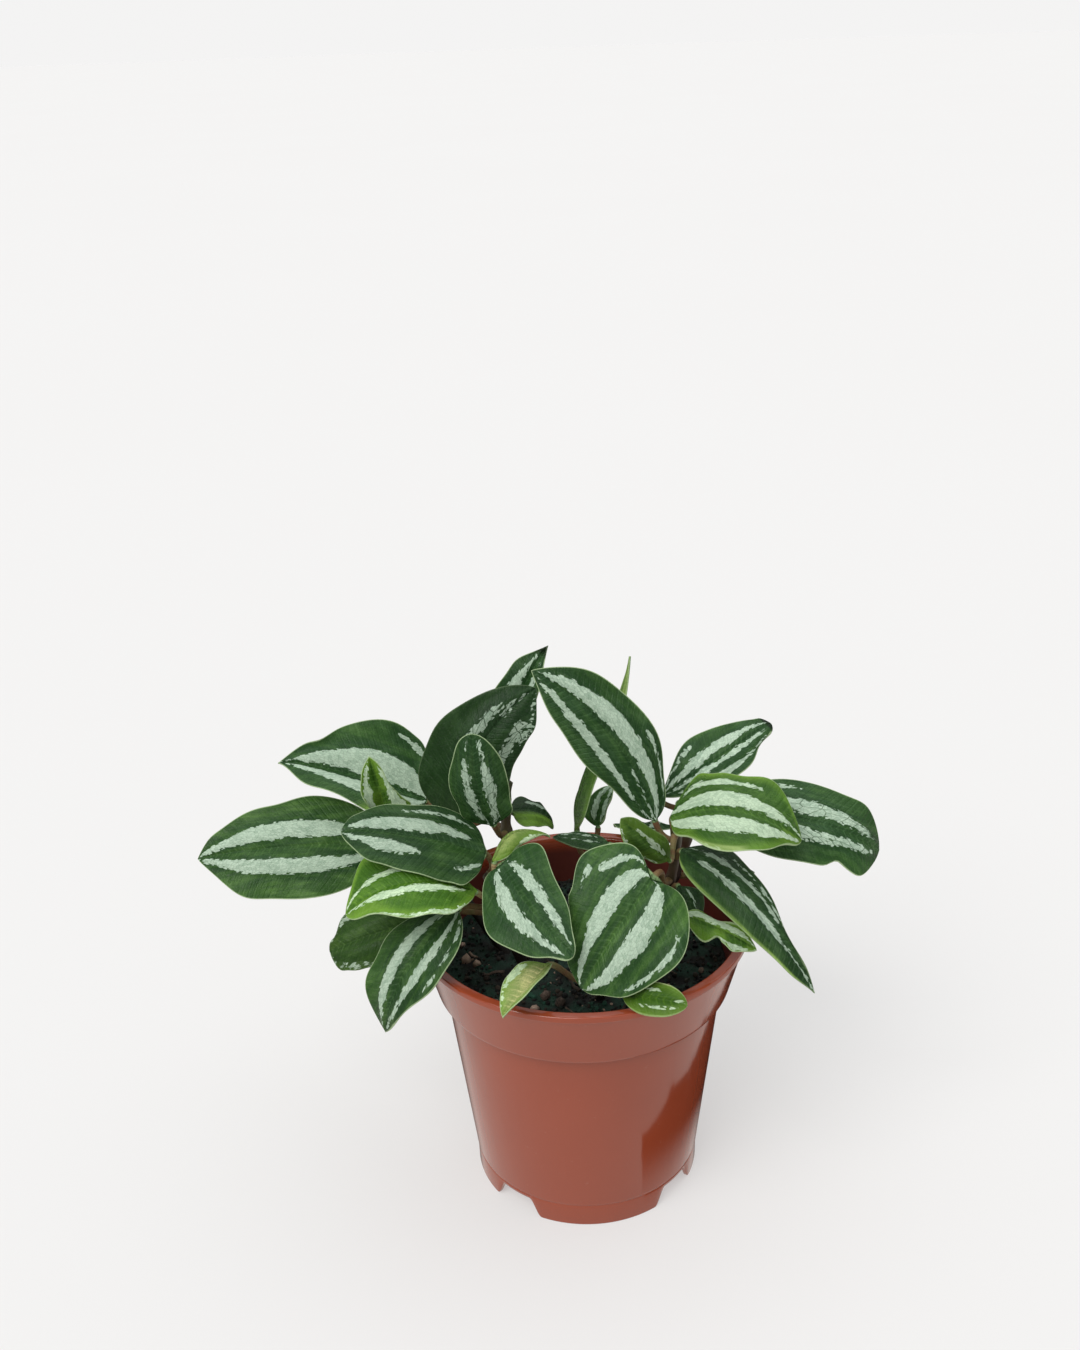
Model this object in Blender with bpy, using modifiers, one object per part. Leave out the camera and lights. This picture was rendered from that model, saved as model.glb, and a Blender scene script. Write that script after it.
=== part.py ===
"""A peperomia with silver-striped leaves in its plastic nursery pot.

The frame is in metres, +Z up. The origin is the middle of the floor space that the whole plant
takes, -Y is the side that the plant shows best, and +X is to the right of that side.
Lengths in the tables below are millimetres and angles are degrees, because that is how a grower
and a mould maker would write them; MM and radians() turn them into Blender's units. The tables'
positions are measured from the middle of the ring that the pot stands on.
"""

from math import cos, pi, radians, sin

import bmesh
import bpy
import numpy as np
from mathutils import Vector

MM = 0.001
GAP = 0.3  # clearance that keeps two touching pieces apart
HIDDEN = 2.0  # how far a cutter runs past the face that it opens

# ---------------------------------------------------------------- driving dimensions
POT_AXIS = (15.5, -13.0)  # from the middle of the floor space that the whole plant takes
POT_SEGMENTS = 64

RIM_RADIUS = 60.0
POT_HEIGHT = 105.0
LIP_DEPTH = 2.6
COLLAR_BOTTOM = 81.7
COLLAR_RADIUS = 53.4
BODY_TOP_RADIUS = 50.3
BODY_FOOT_RADIUS = 41.8
WALL = 1.2

FLOOR_UNDERSIDE = 8.6
FLOOR_TOP = 9.8
FOOT_THICKNESS = 1.8
FOOT_TAPER = 0.2
FOOT_ROUNDING = 0.3
ARCH_COUNT = 4
ARCH_AZIMUTH = -39.2
ARCH_HEIGHT = 7.4
ARCH_WIDTH = 20.6
ARCH_TOP_WIDTH = 14.0
ARCH_ROUNDING = 2.5
ARCH_DEPTH = 14.0
DRAIN_RADIUS = 3.0
DRAIN_RING = 27.0
DRAIN_SIDES = 20

SOIL_TOP = 88.0
SOIL_CROWN = 2.0
SOIL_ROUNDING = 0.6
STEM_DEPTH = 16.0
STEM_POINTS = 10
STEM_HOLE_RISE = 8.0
STEM_HOLE_SIDES = 12

LEAF_THICKNESS = 1.2
PETIOLE_RADIUS = 1.15
PETIOLE_RINGS = 5
BLADE_RINGS = 9
RING_POINTS = 8
BLADE_START = 0.004  # share of the blade's length where its first ring is
STALK_FADE = 0.03  # share over which the stalk's thickness runs out into the blade

# ---------------------------------------------------------------- pot sections, radius and height
# The open inside, from the floor up to the lip.
INNER_WALL = [
    (BODY_FOOT_RADIUS - WALL, FLOOR_TOP),
    (BODY_TOP_RADIUS - WALL, COLLAR_BOTTOM - 1.0),
    (BODY_TOP_RADIUS + 0.3, COLLAR_BOTTOM + 1.4),
    (RIM_RADIUS - 4.1, POT_HEIGHT - 1.4),
]
LIP = [
    (RIM_RADIUS - 3.7, POT_HEIGHT - 0.5),
    (RIM_RADIUS - 2.8, POT_HEIGHT - 0.1),
    (RIM_RADIUS - 1.4, POT_HEIGHT),
    (RIM_RADIUS - 0.4, POT_HEIGHT - 0.3),
    (RIM_RADIUS, POT_HEIGHT - 1.0),
    (RIM_RADIUS - 0.1, POT_HEIGHT - 2.0),
    (RIM_RADIUS - 0.8, POT_HEIGHT - LIP_DEPTH),
]
OUTER_WALL = [
    (COLLAR_RADIUS + 0.2, COLLAR_BOTTOM + 0.7),
    (COLLAR_RADIUS - 0.4, COLLAR_BOTTOM),
    (BODY_TOP_RADIUS + 0.9, COLLAR_BOTTOM - 0.4),
    (BODY_TOP_RADIUS + 0.3, COLLAR_BOTTOM - 0.8),
    (BODY_TOP_RADIUS, COLLAR_BOTTOM - 1.7),
    (BODY_FOOT_RADIUS + 0.1, FLOOR_UNDERSIDE + 0.7),
]
FOOT = [
    (BODY_FOOT_RADIUS - 0.3, FLOOR_UNDERSIDE),
    (BODY_FOOT_RADIUS, FLOOR_UNDERSIDE - 0.6),
    (BODY_FOOT_RADIUS - FOOT_TAPER, FOOT_ROUNDING),
    (BODY_FOOT_RADIUS - FOOT_TAPER - FOOT_ROUNDING, 0.0),
    (BODY_FOOT_RADIUS - FOOT_THICKNESS + FOOT_ROUNDING, 0.0),
    (BODY_FOOT_RADIUS - FOOT_THICKNESS, FOOT_ROUNDING),
    (BODY_FOOT_RADIUS - FOOT_THICKNESS, FLOOR_UNDERSIDE),
]

# ---------------------------------------------------------------- stems
# Each stem: radius at the soil, radius at the tip, and the points that its axis runs through.
STEMS = {
    "stem_left_front": (2.0, 1.5, [(-20, -9, 88), (-25, -12, 104), (-29, -13, 119), (-32, -14, 131)]),
    "stem_left": (1.9, 1.5, [(-28, 2, 88), (-40, 7, 105), (-51, 11, 121), (-58, 12, 135)]),
    "stem_left_back": (2.0, 1.5, [(-18, 8, 88), (-23, 9, 111), (-26, 9, 133), (-25, 13, 153)]),
    "stem_right": (2.1, 1.5, [(18, -4, 88), (26, -5, 107), (32, -6, 126), (33, -6, 144)]),
    "stem_right_back": (2.0, 1.5, [(24, 12, 88), (32, 14, 106), (38, 15, 123), (40, 15, 139)]),
    "stem_back": (1.8, 1.4, [(4, 26, 88), (4, 29, 97), (4, 31, 105), (5, 32, 113)]),
    "stem_front": (1.6, 1.2, [(6, -26, 88), (6, -30, 94), (6, -33, 99), (5, -35, 104)]),
}

# ---------------------------------------------------------------- leaves
# base, tip: ends of the blade's midrib. width: widest place across. face: azimuth and elevation
# that the upper side looks to. rise: how far the midrib bows up towards the face, near the base
# and near the tip. bend: how far it bows to the blade's left. cup: degrees that each half bends
# down. fold: slope of each half up from the midrib. skew: how far the left half slips back and
# the right half forward, as a share of their width. belly: share of the length where the blade
# is widest. point: how sharply it narrows to its tip. lobe: how far the base runs back beside
# the leaf stalk, as a share of the width. wave: height of the ripples along the edges.
# stem, at: where the stalk joins, as a share of the stem's length.
LEAF_DEFAULTS = dict(
    rise=(4, 4), bend=0, cup=18, fold=0, skew=0, belly=0.42, point=0.75, lobe=0.0, wave=0
)
LEAVES = {
    "leaf_far_left": dict(base=(-67, 6, 132), tip=(-136, 0, 132), width=38, face=(-90, 42), rise=(5, 4),
                          bend=-2, cup=12, belly=0.45, point=0.85, stem="stem_left", at=0.86),
    "leaf_upper_left": dict(base=(-57, 28, 138), tip=(-108, 22, 159), width=42, face=(-95, 66), rise=(5, 5),
                            cup=6, fold=0.5, belly=0.34, point=1.1, stem="stem_left", at=0.96),
    "leaf_folded_young": dict(base=(-67, 0, 148), tip=(-71, -3, 172), width=15, face=(-80, 5), rise=(1, 1),
                              cup=0, fold=0.6, belly=0.32, stem="stem_left", at=1.0),
    "leaf_dark_upright": dict(base=(-42, 8, 140), tip=(-14, 18, 187), width=31, face=(-100, 5), rise=(6, 5),
                              bend=9, stem="stem_left_back", at=0.8),
    "leaf_oval_upright": dict(base=(-30, -4, 146), tip=(-35, -10, 183), width=21.5, face=(-95, 15),
                              rise=(4, 4), bend=2, cup=30, belly=0.5, point=0.5, stem="stem_left_back",
                              at=0.7),
    "leaf_behind_oval": dict(base=(-24, 15, 140), tip=(-9, 20, 130), width=18, face=(-70, 75), rise=(6, 5),
                             cup=20, belly=0.32, stem="stem_left_back", at=0.9),
    "leaf_mid_left": dict(base=(-33, -14, 140), tip=(-80, -20, 154), width=31, face=(-90, 66), rise=(5, 5),
                          cup=10, belly=0.36, point=0.6, stem="stem_left_front", at=1.0),
    "leaf_bright_left": dict(base=(-36, -24, 131), tip=(-79, -36, 131), width=28, face=(-90, 72),
                             rise=(13, 15), cup=14, belly=0.5, point=0.6, stem="stem_left_front", at=0.8),
    "leaf_low_left": dict(base=(-47, -12, 115), tip=(-89, -18, 104), width=27, face=(-105, 45), rise=(5, 4),
                          belly=0.5, point=0.5, stem="stem_left_front", at=0.6),
    "leaf_drooping_left": dict(base=(-42, -26, 125), tip=(-68, -44, 88), width=28, face=(-120, 35),
                               rise=(13, 13), belly=0.42, point=0.9, stem="stem_left_front", at=0.7),
    "leaf_front_left": dict(base=(-26, -25, 141), tip=(-3, -58, 128), width=25, face=(-95, 45), rise=(3, 2),
                            bend=-2, skew=0.25, belly=0.42, point=0.55, lobe=0.35, stem="stem_left_front",
                            at=0.72),
    "leaf_edge_on": dict(base=(-29, -18, 139), tip=(-10, -6, 142), width=8, face=(190, 60), rise=(12, 5),
                         stem="stem_left_front", at=0.92),
    "leaf_front_round": dict(base=(23, -34, 140), tip=(-1, -54, 112), width=39, face=(-105, 35), rise=(4, 4),
                             skew=-0.25, belly=0.4, point=0.6, lobe=0.35, stem="stem_right", at=0.62),
    "leaf_young_right": dict(base=(30, -16, 137), tip=(14, -19, 155), width=14, face=(-90, 30), rise=(3, 2),
                             belly=0.5, stem="stem_right", at=0.95),
    "leaf_long_right": dict(base=(35, -14, 139), tip=(76, -50, 106), width=19, face=(-75, 60), rise=(14, 7),
                            bend=1, belly=0.33, point=1.0, stem="stem_right", at=0.8),
    "leaf_bright_right": dict(base=(32, -10, 150), tip=(74, -26, 150), width=33, face=(-90, 65),
                              rise=(15, 14), skew=0.2, belly=0.35, point=0.6, stem="stem_right", at=1.0),
    "leaf_far_right": dict(base=(50, 6, 143), tip=(105, -4, 132), width=31, face=(-90, 52), rise=(13, 15),
                           belly=0.47, point=0.5, stem="stem_right_back", at=0.9),
    "leaf_upper_right": dict(base=(30, 16, 144), tip=(71, 36, 163), width=19, face=(-90, 55), rise=(6, 6),
                             bend=-2, belly=0.56, point=0.6, stem="stem_right_back", at=1.0),
    "leaf_tall": dict(base=(26, -4, 146), tip=(-15, 6, 199), width=28, face=(-90, 30), rise=(4, 4), bend=-9,
                      belly=0.42, point=0.85, stem="stem_right", at=0.9),
    "leaf_top": dict(base=(-32, 24, 156), tip=(-10, 30, 198), width=18, face=(-120, 20), rise=(3, 2),
                     fold=0.4, point=1.0, stem="stem_left_back", at=1.0),
    "leaf_profile": dict(base=(-1, 30, 123), tip=(19, 44, 187), width=16, face=(190, 5), rise=(9, -7), cup=35,
                         belly=0.4, point=1.1, stem="stem_back", at=0.9),
    "leaf_back_small": dict(base=(7, 38, 120), tip=(13, 46, 133), width=11, face=(-120, 40), rise=(2, 2),
                            bend=2, stem="stem_back", at=1.0),
    "leaf_back_flat": dict(base=(10, 18, 124), tip=(-10, 22, 125), width=8, face=(-90, 70), rise=(1, 1),
                           stem="stem_back", at=0.8),
    "leaf_wavy_right": dict(base=(35, -26, 121), tip=(58, -38, 115), width=12, face=(-60, 60), rise=(3, 2),
                            wave=2, stem="stem_right", at=0.25),
    "leaf_pale_front": dict(base=(-12, -44, 114), tip=(-26, -66, 111), width=13, face=(-130, 32), rise=(2, 1),
                            fold=0.4, stem="stem_front", at=0.8),
    "leaf_young_front": dict(base=(13, -52, 108), tip=(33, -62, 111), width=12, face=(-80, 50), rise=(2, 2),
                             belly=0.5, point=0.6, stem="stem_front", at=1.0),
    "leaf_dark_right": dict(base=(34, -13, 124), tip=(38, -19, 112), width=15, face=(-70, 50), rise=(3, 2),
                            stem="stem_right", at=0.42),
    "leaf_rear_left_upper": dict(base=(-42, 35, 132), tip=(-82, 60, 118), width=31, face=(150, 62),
                                 rise=(6, 6), stem="stem_left_back", at=0.7),
    "leaf_rear_left_mid": dict(base=(-34, 38, 124), tip=(-58, 80, 98), width=29, face=(120, 50), rise=(6, 6),
                               stem="stem_left_back", at=0.6),
    "leaf_rear_left_low": dict(base=(-50, 26, 112), tip=(-94, 46, 92), width=27, face=(160, 50), rise=(6, 6),
                               stem="stem_left", at=0.5),
    "leaf_rear_right_upper": dict(base=(48, 30, 126), tip=(88, 54, 110), width=30, face=(30, 62), rise=(6, 6),
                                  stem="stem_right_back", at=0.75),
    "leaf_rear_right_mid": dict(base=(44, 36, 124), tip=(64, 80, 100), width=30, face=(60, 50), rise=(6, 6),
                                stem="stem_right_back", at=0.6),
    "leaf_rear_right_low": dict(base=(51, 23, 111), tip=(62, 64, 84), width=22, face=(35, 50), rise=(6, 6),
                                stem="stem_right_back", at=0.45),
    "leaf_rear_centre": dict(base=(25, 48, 112), tip=(28, 92, 84), width=26, face=(85, 45), rise=(6, 6),
                             stem="stem_back", at=0.6),
}


YOUNG_LEAVES = (
    "leaf_folded_young",
    "leaf_bright_left",
    "leaf_edge_on",
    "leaf_young_right",
    "leaf_bright_right",
    "leaf_pale_front",
    "leaf_young_front",
    "leaf_wavy_right",
)
MATURE_GREEN = (0.03, 0.09, 0.04)
YOUNG_GREEN = (0.12, 0.26, 0.04)


# ---------------------------------------------------------------- directions and curves
def unit(v):
    """The same direction with a length of one; rows of an array are treated one by one."""
    v = np.asarray(v, float)
    return v / np.maximum(np.linalg.norm(v, axis=-1, keepdims=True), 1e-9)


def facing(azimuth, elevation):
    """A direction given as a compass angle from +X and a height angle above level."""
    a, e = radians(azimuth), radians(elevation)
    return np.array([cos(e) * cos(a), cos(e) * sin(a), sin(e)])


def bezier(points, s):
    """A cubic curve through its first and last points, pulled towards the two in the middle."""
    p0, p1, p2, p3 = np.asarray(points, float)
    s = np.asarray(s, float)[..., None]
    r = 1 - s
    return r**3 * p0 + 3 * r * r * s * p1 + 3 * r * s * s * p2 + s**3 * p3


def bezier_slope(points, s):
    """The derivative of that curve."""
    p0, p1, p2, p3 = np.asarray(points, float)
    s = np.asarray(s, float)[..., None]
    r = 1 - s
    return 3 * r * r * (p1 - p0) + 6 * r * s * (p2 - p1) + 3 * s * s * (p3 - p2)


def stem_curve(points, s):
    """A smooth path through four points: the cubic whose ends and thirds are those points."""
    p0, p1, p2, p3 = np.asarray(points, float)
    c1 = (-5 * p0 + 18 * p1 - 9 * p2 + 2 * p3) / 6
    c2 = (2 * p0 - 9 * p1 + 18 * p2 - 5 * p3) / 6
    controls = (p0, c1, c2, p3)
    return bezier(controls, s), unit(bezier_slope(controls, s))


# ---------------------------------------------------------------- leaf surface
def blade_frame(leaf):
    """The blade's own axes: along its length, out of its upper side, and to its left."""
    base, tip = np.array(leaf["base"], float), np.array(leaf["tip"], float)
    along = unit(tip - base)
    up = facing(*leaf["face"])
    up = unit(up - along * (up @ along))
    return base, tip, along, up, np.cross(up, along)


def midrib(leaf):
    """Control points of the blade's middle line, which bows towards the upper side."""
    base, tip, along, up, left = blade_frame(leaf)
    third = np.linalg.norm(tip - base) / 3
    rise_near, rise_far = leaf["rise"]
    bend = leaf["bend"]
    near = base + along * third + up * rise_near + left * bend
    far = tip - along * third + up * rise_far + left * bend
    return base, near, far, tip


def half_width(leaf, s):
    """Half the blade's width: s**p * (1 - s)**q, scaled so that its peak is half the full width."""
    q = leaf["point"]
    p = leaf["belly"] * q / (1 - leaf["belly"])
    peak = leaf["belly"] ** p * (1 - leaf["belly"]) ** q
    return leaf["width"] / 2 * s**p * (1 - s) ** q / peak


def blade_surface(leaf, s, t):
    """Points and upward directions of the blade's middle surface.

    s runs along the midrib and t across from edge to edge. Each half is bent down as an arc of
    "cup" degrees and tilted up by "fold", its edge ripples by "wave", and "lobe" and "skew" slide
    it back along the midrib.
    """
    _, _, _, up, left = blade_frame(leaf)
    controls = midrib(leaf)
    along = unit(bezier_slope(controls, s))
    side = unit(left - along * np.sum(left * along, -1, keepdims=True))
    normal = np.cross(along, side)

    w = half_width(leaf, s)
    full = 2 * w / leaf["width"]
    angle = np.radians(leaf["cup"]) * full[:, None] * t + 1e-6
    across = w[:, None] * t * np.sin(angle) / angle
    lift = -w[:, None] * np.abs(t) * np.abs((1 - np.cos(angle)) / angle)
    lift += leaf["fold"] * w[:, None] * np.abs(t)
    lift += leaf["wave"] * t * np.abs(t) * np.sin(pi * (3 * s[:, None] + 0.5 * t)) * full[:, None]
    back = leaf["lobe"] * leaf["width"] * np.abs(t) ** 1.5 * full[:, None] * (1 - s[:, None]) ** 3
    back += leaf["skew"] * across
    points = bezier(controls, s)[:, None, :] + side[:, None, :] * across[..., None]
    points = points + normal[:, None, :] * lift[..., None] - along[:, None, :] * back[..., None]
    return points, normal, side, along


def leaf_spine(leaf):
    """Centres, widths, thicknesses and axes of the rings that run from the stem to the leaf's tip.

    The stalk leaves the stem at a right angle, clear of it by the gap, and curves into the midrib.
    The blade's rings follow, closer together towards both ends.
    """
    s = (1 - np.cos(np.linspace(0, pi, BLADE_RINGS + 2)[:-1])) / 2
    s[0] = BLADE_START
    _, normal, side, along = blade_surface(leaf, s, np.zeros(1))
    controls = midrib(leaf)
    base = controls[0]

    start_radius, end_radius, points = STEMS[leaf["stem"]]
    seat, climb = (v[0] for v in stem_curve(points, np.array([leaf["at"]])))
    radius = start_radius + (end_radius - start_radius) * leaf["at"]
    out = base - seat
    out = unit(out - climb * (out @ climb))
    first = seat + out * (radius + GAP)
    reach = np.linalg.norm(base - first)
    stalk = (first, first + out * reach * 0.4, base - along[0] * reach * 0.35, base)
    u = np.linspace(0, 1, PETIOLE_RINGS + 1)[:-1]
    stalk_along = unit(bezier_slope(stalk, u))
    stalk_side = np.empty_like(stalk_along)
    ahead = side[0]
    for i in range(PETIOLE_RINGS - 1, -1, -1):
        ahead = unit(ahead - stalk_along[i] * (ahead @ stalk_along[i]))
        stalk_side[i] = ahead
    return s, bezier(stalk, u), stalk_side, np.cross(stalk_along, stalk_side)


def leaf_rings(leaf):
    """Rings of points round the stalk and the blade, from the stem to just before the tip."""
    theta = np.linspace(0, 2 * pi, RING_POINTS, endpoint=False)
    across, above = np.cos(theta), np.sin(theta)
    s, centres, side, normal = leaf_spine(leaf)
    stalk = centres[:, None] + PETIOLE_RADIUS * (
        side[:, None] * across[:, None] + normal[:, None] * above[:, None]
    )
    points, normal, _, _ = blade_surface(leaf, s, across)
    half = LEAF_THICKNESS / 2 + (PETIOLE_RADIUS - LEAF_THICKNESS / 2) * np.exp(-s / STALK_FADE)
    blade = points + normal[:, None] * (half[:, None] * above)[..., None]
    return np.concatenate([stalk, blade])


def leaf_mesh(leaf):
    """Vertices in millimetres and faces of the closed solid of one leaf with its stalk."""
    leaf = {**LEAF_DEFAULTS, **leaf}
    rings = leaf_rings(leaf)
    count, n = rings.shape[:2]
    tip = np.array(leaf["tip"], float)
    vertices = np.concatenate([rings.reshape(-1, 3), tip[None]])
    faces = [tuple(range(n - 1, -1, -1))]
    for i in range(count - 1):
        for k in range(n):
            a, b = i * n + k, i * n + (k + 1) % n
            faces.append((a, b, b + n, a + n))
    last = (count - 1) * n
    faces += [(last + k, last + (k + 1) % n, count * n) for k in range(n)]
    return vertices, faces


# ---------------------------------------------------------------- objects
def clear_scene():
    """Start from an empty scene."""
    for thing in list(bpy.data.objects):
        bpy.data.objects.remove(thing, do_unlink=True)


def finish(name, colour, roughness):
    """One sub-part's own material."""
    material = bpy.data.materials.new(name + "_finish")
    material.use_nodes = True
    shader = material.node_tree.nodes["Principled BSDF"]
    shader.inputs["Base Color"].default_value = (*colour, 1.0)
    shader.inputs["Roughness"].default_value = roughness
    shader.inputs["Metallic"].default_value = 0.0
    return material


def place(name, data, collection, root, origin=(0, 0, 0)):
    """An object in its collection, held by the plant's empty, at a place given in millimetres."""
    thing = bpy.data.objects.new(name, data)
    collection.objects.link(thing)
    thing.parent = root
    thing.location = Vector(origin) * MM
    return thing


def place_cutter(name, data, collection, root, origin=(0, 0, 0)):
    """The same for a shape that only cuts others."""
    cutter = place(name, data, collection, root, origin)
    cutter.hide_render = True
    cutter.display_type = "WIRE"
    return cutter


def cut(thing, cutter):
    """Take a cutter's shape out of a thing."""
    modifier = thing.modifiers.new(cutter.name, "BOOLEAN")
    modifier.operation = "DIFFERENCE"
    modifier.solver = "EXACT"
    modifier.object = cutter


def turned(name, profile, collection, root):
    """A profile of radius and height pairs turned once round the pot's axis."""
    mesh = bpy.data.meshes.new(name)
    vertices = [(radius * MM, 0, height * MM) for radius, height in profile]
    edges = [(i, i + 1) for i in range(len(vertices) - 1)]
    mesh.from_pydata(vertices, edges, [])
    thing = place(name, mesh, collection, root)
    screw = thing.modifiers.new("turn", "SCREW")
    screw.axis = "Z"
    screw.angle = 2 * pi
    screw.steps = POT_SEGMENTS
    screw.render_steps = POT_SEGMENTS
    screw.use_merge_vertices = True
    screw.merge_threshold = 0.00001
    screw.use_smooth_shade = True
    return thing


def cylinder(name, radius, length, sides):
    """A plain closed cylinder along Z with its middle at the origin."""
    mesh = bpy.data.meshes.new(name)
    shape = bmesh.new()
    bmesh.ops.create_cone(
        shape, cap_ends=True, segments=sides, radius1=radius * MM, radius2=radius * MM, depth=length * MM
    )
    shape.to_mesh(mesh)
    shape.free()
    return mesh


def arch_mesh():
    """A block that narrows upwards and has its two upper edges rounded, to cut between two feet."""
    mesh = bpy.data.meshes.new("foot_arch")
    shape = bmesh.new()
    bmesh.ops.create_cube(shape, size=1)
    flare = (ARCH_WIDTH - ARCH_TOP_WIDTH) / ARCH_HEIGHT
    bottom_width = ARCH_WIDTH + flare * HIDDEN
    for corner in shape.verts:
        top = corner.co.z > 0
        corner.co.x *= ARCH_DEPTH * MM
        corner.co.y *= (ARCH_TOP_WIDTH if top else bottom_width) * MM
        corner.co.z = (ARCH_HEIGHT if top else -HIDDEN) * MM
    upper = [
        edge
        for edge in shape.edges
        if all(end.co.z > 0 for end in edge.verts) and abs(edge.verts[0].co.y - edge.verts[1].co.y) < 1e-6
    ]
    bmesh.ops.bevel(shape, geom=upper, offset=ARCH_ROUNDING * MM, segments=3, profile=0.5, affect="EDGES")
    shape.to_mesh(mesh)
    shape.free()
    return mesh


def make_pot(collection, cutters, root):
    """The pot: a turned shell with a floor, four arches between its feet and four drain holes."""
    profile = [(0, FLOOR_TOP), *INNER_WALL, *LIP, *OUTER_WALL, *FOOT, (0, FLOOR_UNDERSIDE)]
    pot = turned("pot", profile, collection, root)
    pot.data.materials.append(finish("pot", (0.42, 0.115, 0.07), 0.3))
    for i in range(ARCH_COUNT):
        azimuth = radians(ARCH_AZIMUTH + 360 / ARCH_COUNT * i)
        turn = (cos(azimuth), sin(azimuth))
        radius = BODY_FOOT_RADIUS - FOOT_THICKNESS / 2
        where = (radius * turn[0], radius * turn[1], 0)
        arch = place_cutter(f"foot_arch_{i}", arch_mesh(), cutters, root, where)
        arch.rotation_euler.z = azimuth
        cut(pot, arch)
        middle = (FLOOR_UNDERSIDE + FLOOR_TOP) / 2
        length = FLOOR_TOP - FLOOR_UNDERSIDE + 2 * HIDDEN
        hole = cylinder("drain", DRAIN_RADIUS, length, DRAIN_SIDES)
        where = (DRAIN_RING * turn[0], DRAIN_RING * turn[1], middle)
        cut(pot, place_cutter(f"drain_{i}", hole, cutters, root, where))
    return pot


def make_soil(collection, cutters, root):
    """The potting mix: it fills the pot up to a low crown, and has a hole for each stem."""
    radii, heights = np.array(INNER_WALL).T
    top_radius = np.interp(SOIL_TOP, heights, radii) - GAP
    profile = [
        (0, SOIL_TOP + SOIL_CROWN),
        (22, SOIL_TOP + SOIL_CROWN * 0.75),
        (40, SOIL_TOP + SOIL_CROWN * 0.3),
        (top_radius - 1.5, SOIL_TOP),
        (top_radius - 0.3 * SOIL_ROUNDING, SOIL_TOP - SOIL_ROUNDING),
        (radii[2] - GAP, heights[2]),
        (radii[1] - GAP, heights[1]),
        (radii[0] - GAP, FLOOR_TOP + GAP),
        (0, FLOOR_TOP + GAP),
    ]
    soil = turned("potting_mix", profile, collection, root)
    soil.data.materials.append(finish("potting_mix", (0.025, 0.02, 0.016), 0.95))
    for name, (radius, _, points) in STEMS.items():
        points, along = stem_curve(points, np.zeros(1))
        length = STEM_DEPTH + GAP + STEM_HOLE_RISE
        middle = points[0] + along[0] * (STEM_HOLE_RISE - length / 2)
        hole = cylinder("hole_" + name, radius + 2 * GAP, length, STEM_HOLE_SIDES)
        cutter = place_cutter("hole_" + name, hole, cutters, root, middle)
        cutter.rotation_euler = Vector(along[0]).to_track_quat("Z", "Y").to_euler()
        cut(soil, cutter)
    return soil


def make_stem(name, collection, root):
    """A stem: a tube that thins upwards, from inside the potting mix to its growing end."""
    start_radius, end_radius, points = STEMS[name]
    share = np.linspace(0, 1, STEM_POINTS)
    centres, along = stem_curve(points, share)
    centres = np.concatenate([centres[:1] - along[:1] * STEM_DEPTH, centres])
    radius = np.concatenate([[start_radius], start_radius + (end_radius - start_radius) * share])
    curve = bpy.data.curves.new(name, "CURVE")
    curve.dimensions = "3D"
    curve.bevel_depth = start_radius * MM
    curve.bevel_resolution = 2
    curve.use_fill_caps = True
    spline = curve.splines.new("POLY")
    spline.points.add(len(centres) - 1)
    for point, centre, r in zip(spline.points, centres - centres[0], radius):
        point.co = (*(centre * MM), 1)
        point.radius = r / start_radius
    curve.materials.append(finish(name, (0.25, 0.09, 0.05), 0.45))
    return place(name, curve, collection, root, centres[0])


def make_leaf(name, collection, root):
    """A leaf with its stalk: a loft from the round stalk to the thin blade."""
    leaf = LEAVES[name]
    vertices, faces = leaf_mesh(leaf)
    origin = vertices[:RING_POINTS].mean(axis=0)
    mesh = bpy.data.meshes.new(name)
    mesh.from_pydata(((vertices - origin) * MM).tolist(), [], faces)
    mesh.shade_smooth()
    colour = YOUNG_GREEN if name in YOUNG_LEAVES else MATURE_GREEN
    mesh.materials.append(finish(name, colour, 0.35))
    return place(name, mesh, collection, root, origin)


def main():
    """Build the plant and its pot."""
    clear_scene()
    plant = bpy.data.collections.new("potted_peperomia")
    cutters = bpy.data.collections.new("cutters")
    for collection in (plant, cutters):
        bpy.context.scene.collection.children.link(collection)
    root = bpy.data.objects.new("peperomia_frame", None)
    plant.objects.link(root)
    root.location = (POT_AXIS[0] * MM, POT_AXIS[1] * MM, 0)

    make_pot(plant, cutters, root)
    make_soil(plant, cutters, root)
    for name in STEMS:
        make_stem(name, plant, root)
    for name in LEAVES:
        make_leaf(name, plant, root)


if __name__ == "__main__":
    main()
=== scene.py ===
"""A silver-striped peperomia in its plastic nursery pot: the looks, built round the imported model."""

# %% [markdown]
# # A potted peperomia, leaf by leaf
# A peperomia is a small house plant with thick, waxy leaves on reddish stalks. Everything that a
# checker measures (the pot, the potting mix, the stems and plain versions of the leaves) comes
# packed as a fixed frame. This lesson loads that frame and gives each piece the shape and finish
# that the eye expects: curved, striped leaves, a glossy moulded pot and crumbly potting mix.

from itertools import combinations
from math import cos, pi, radians, sin

import bmesh
import bpy
import numpy as np
from mathutils import Matrix, Vector


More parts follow.
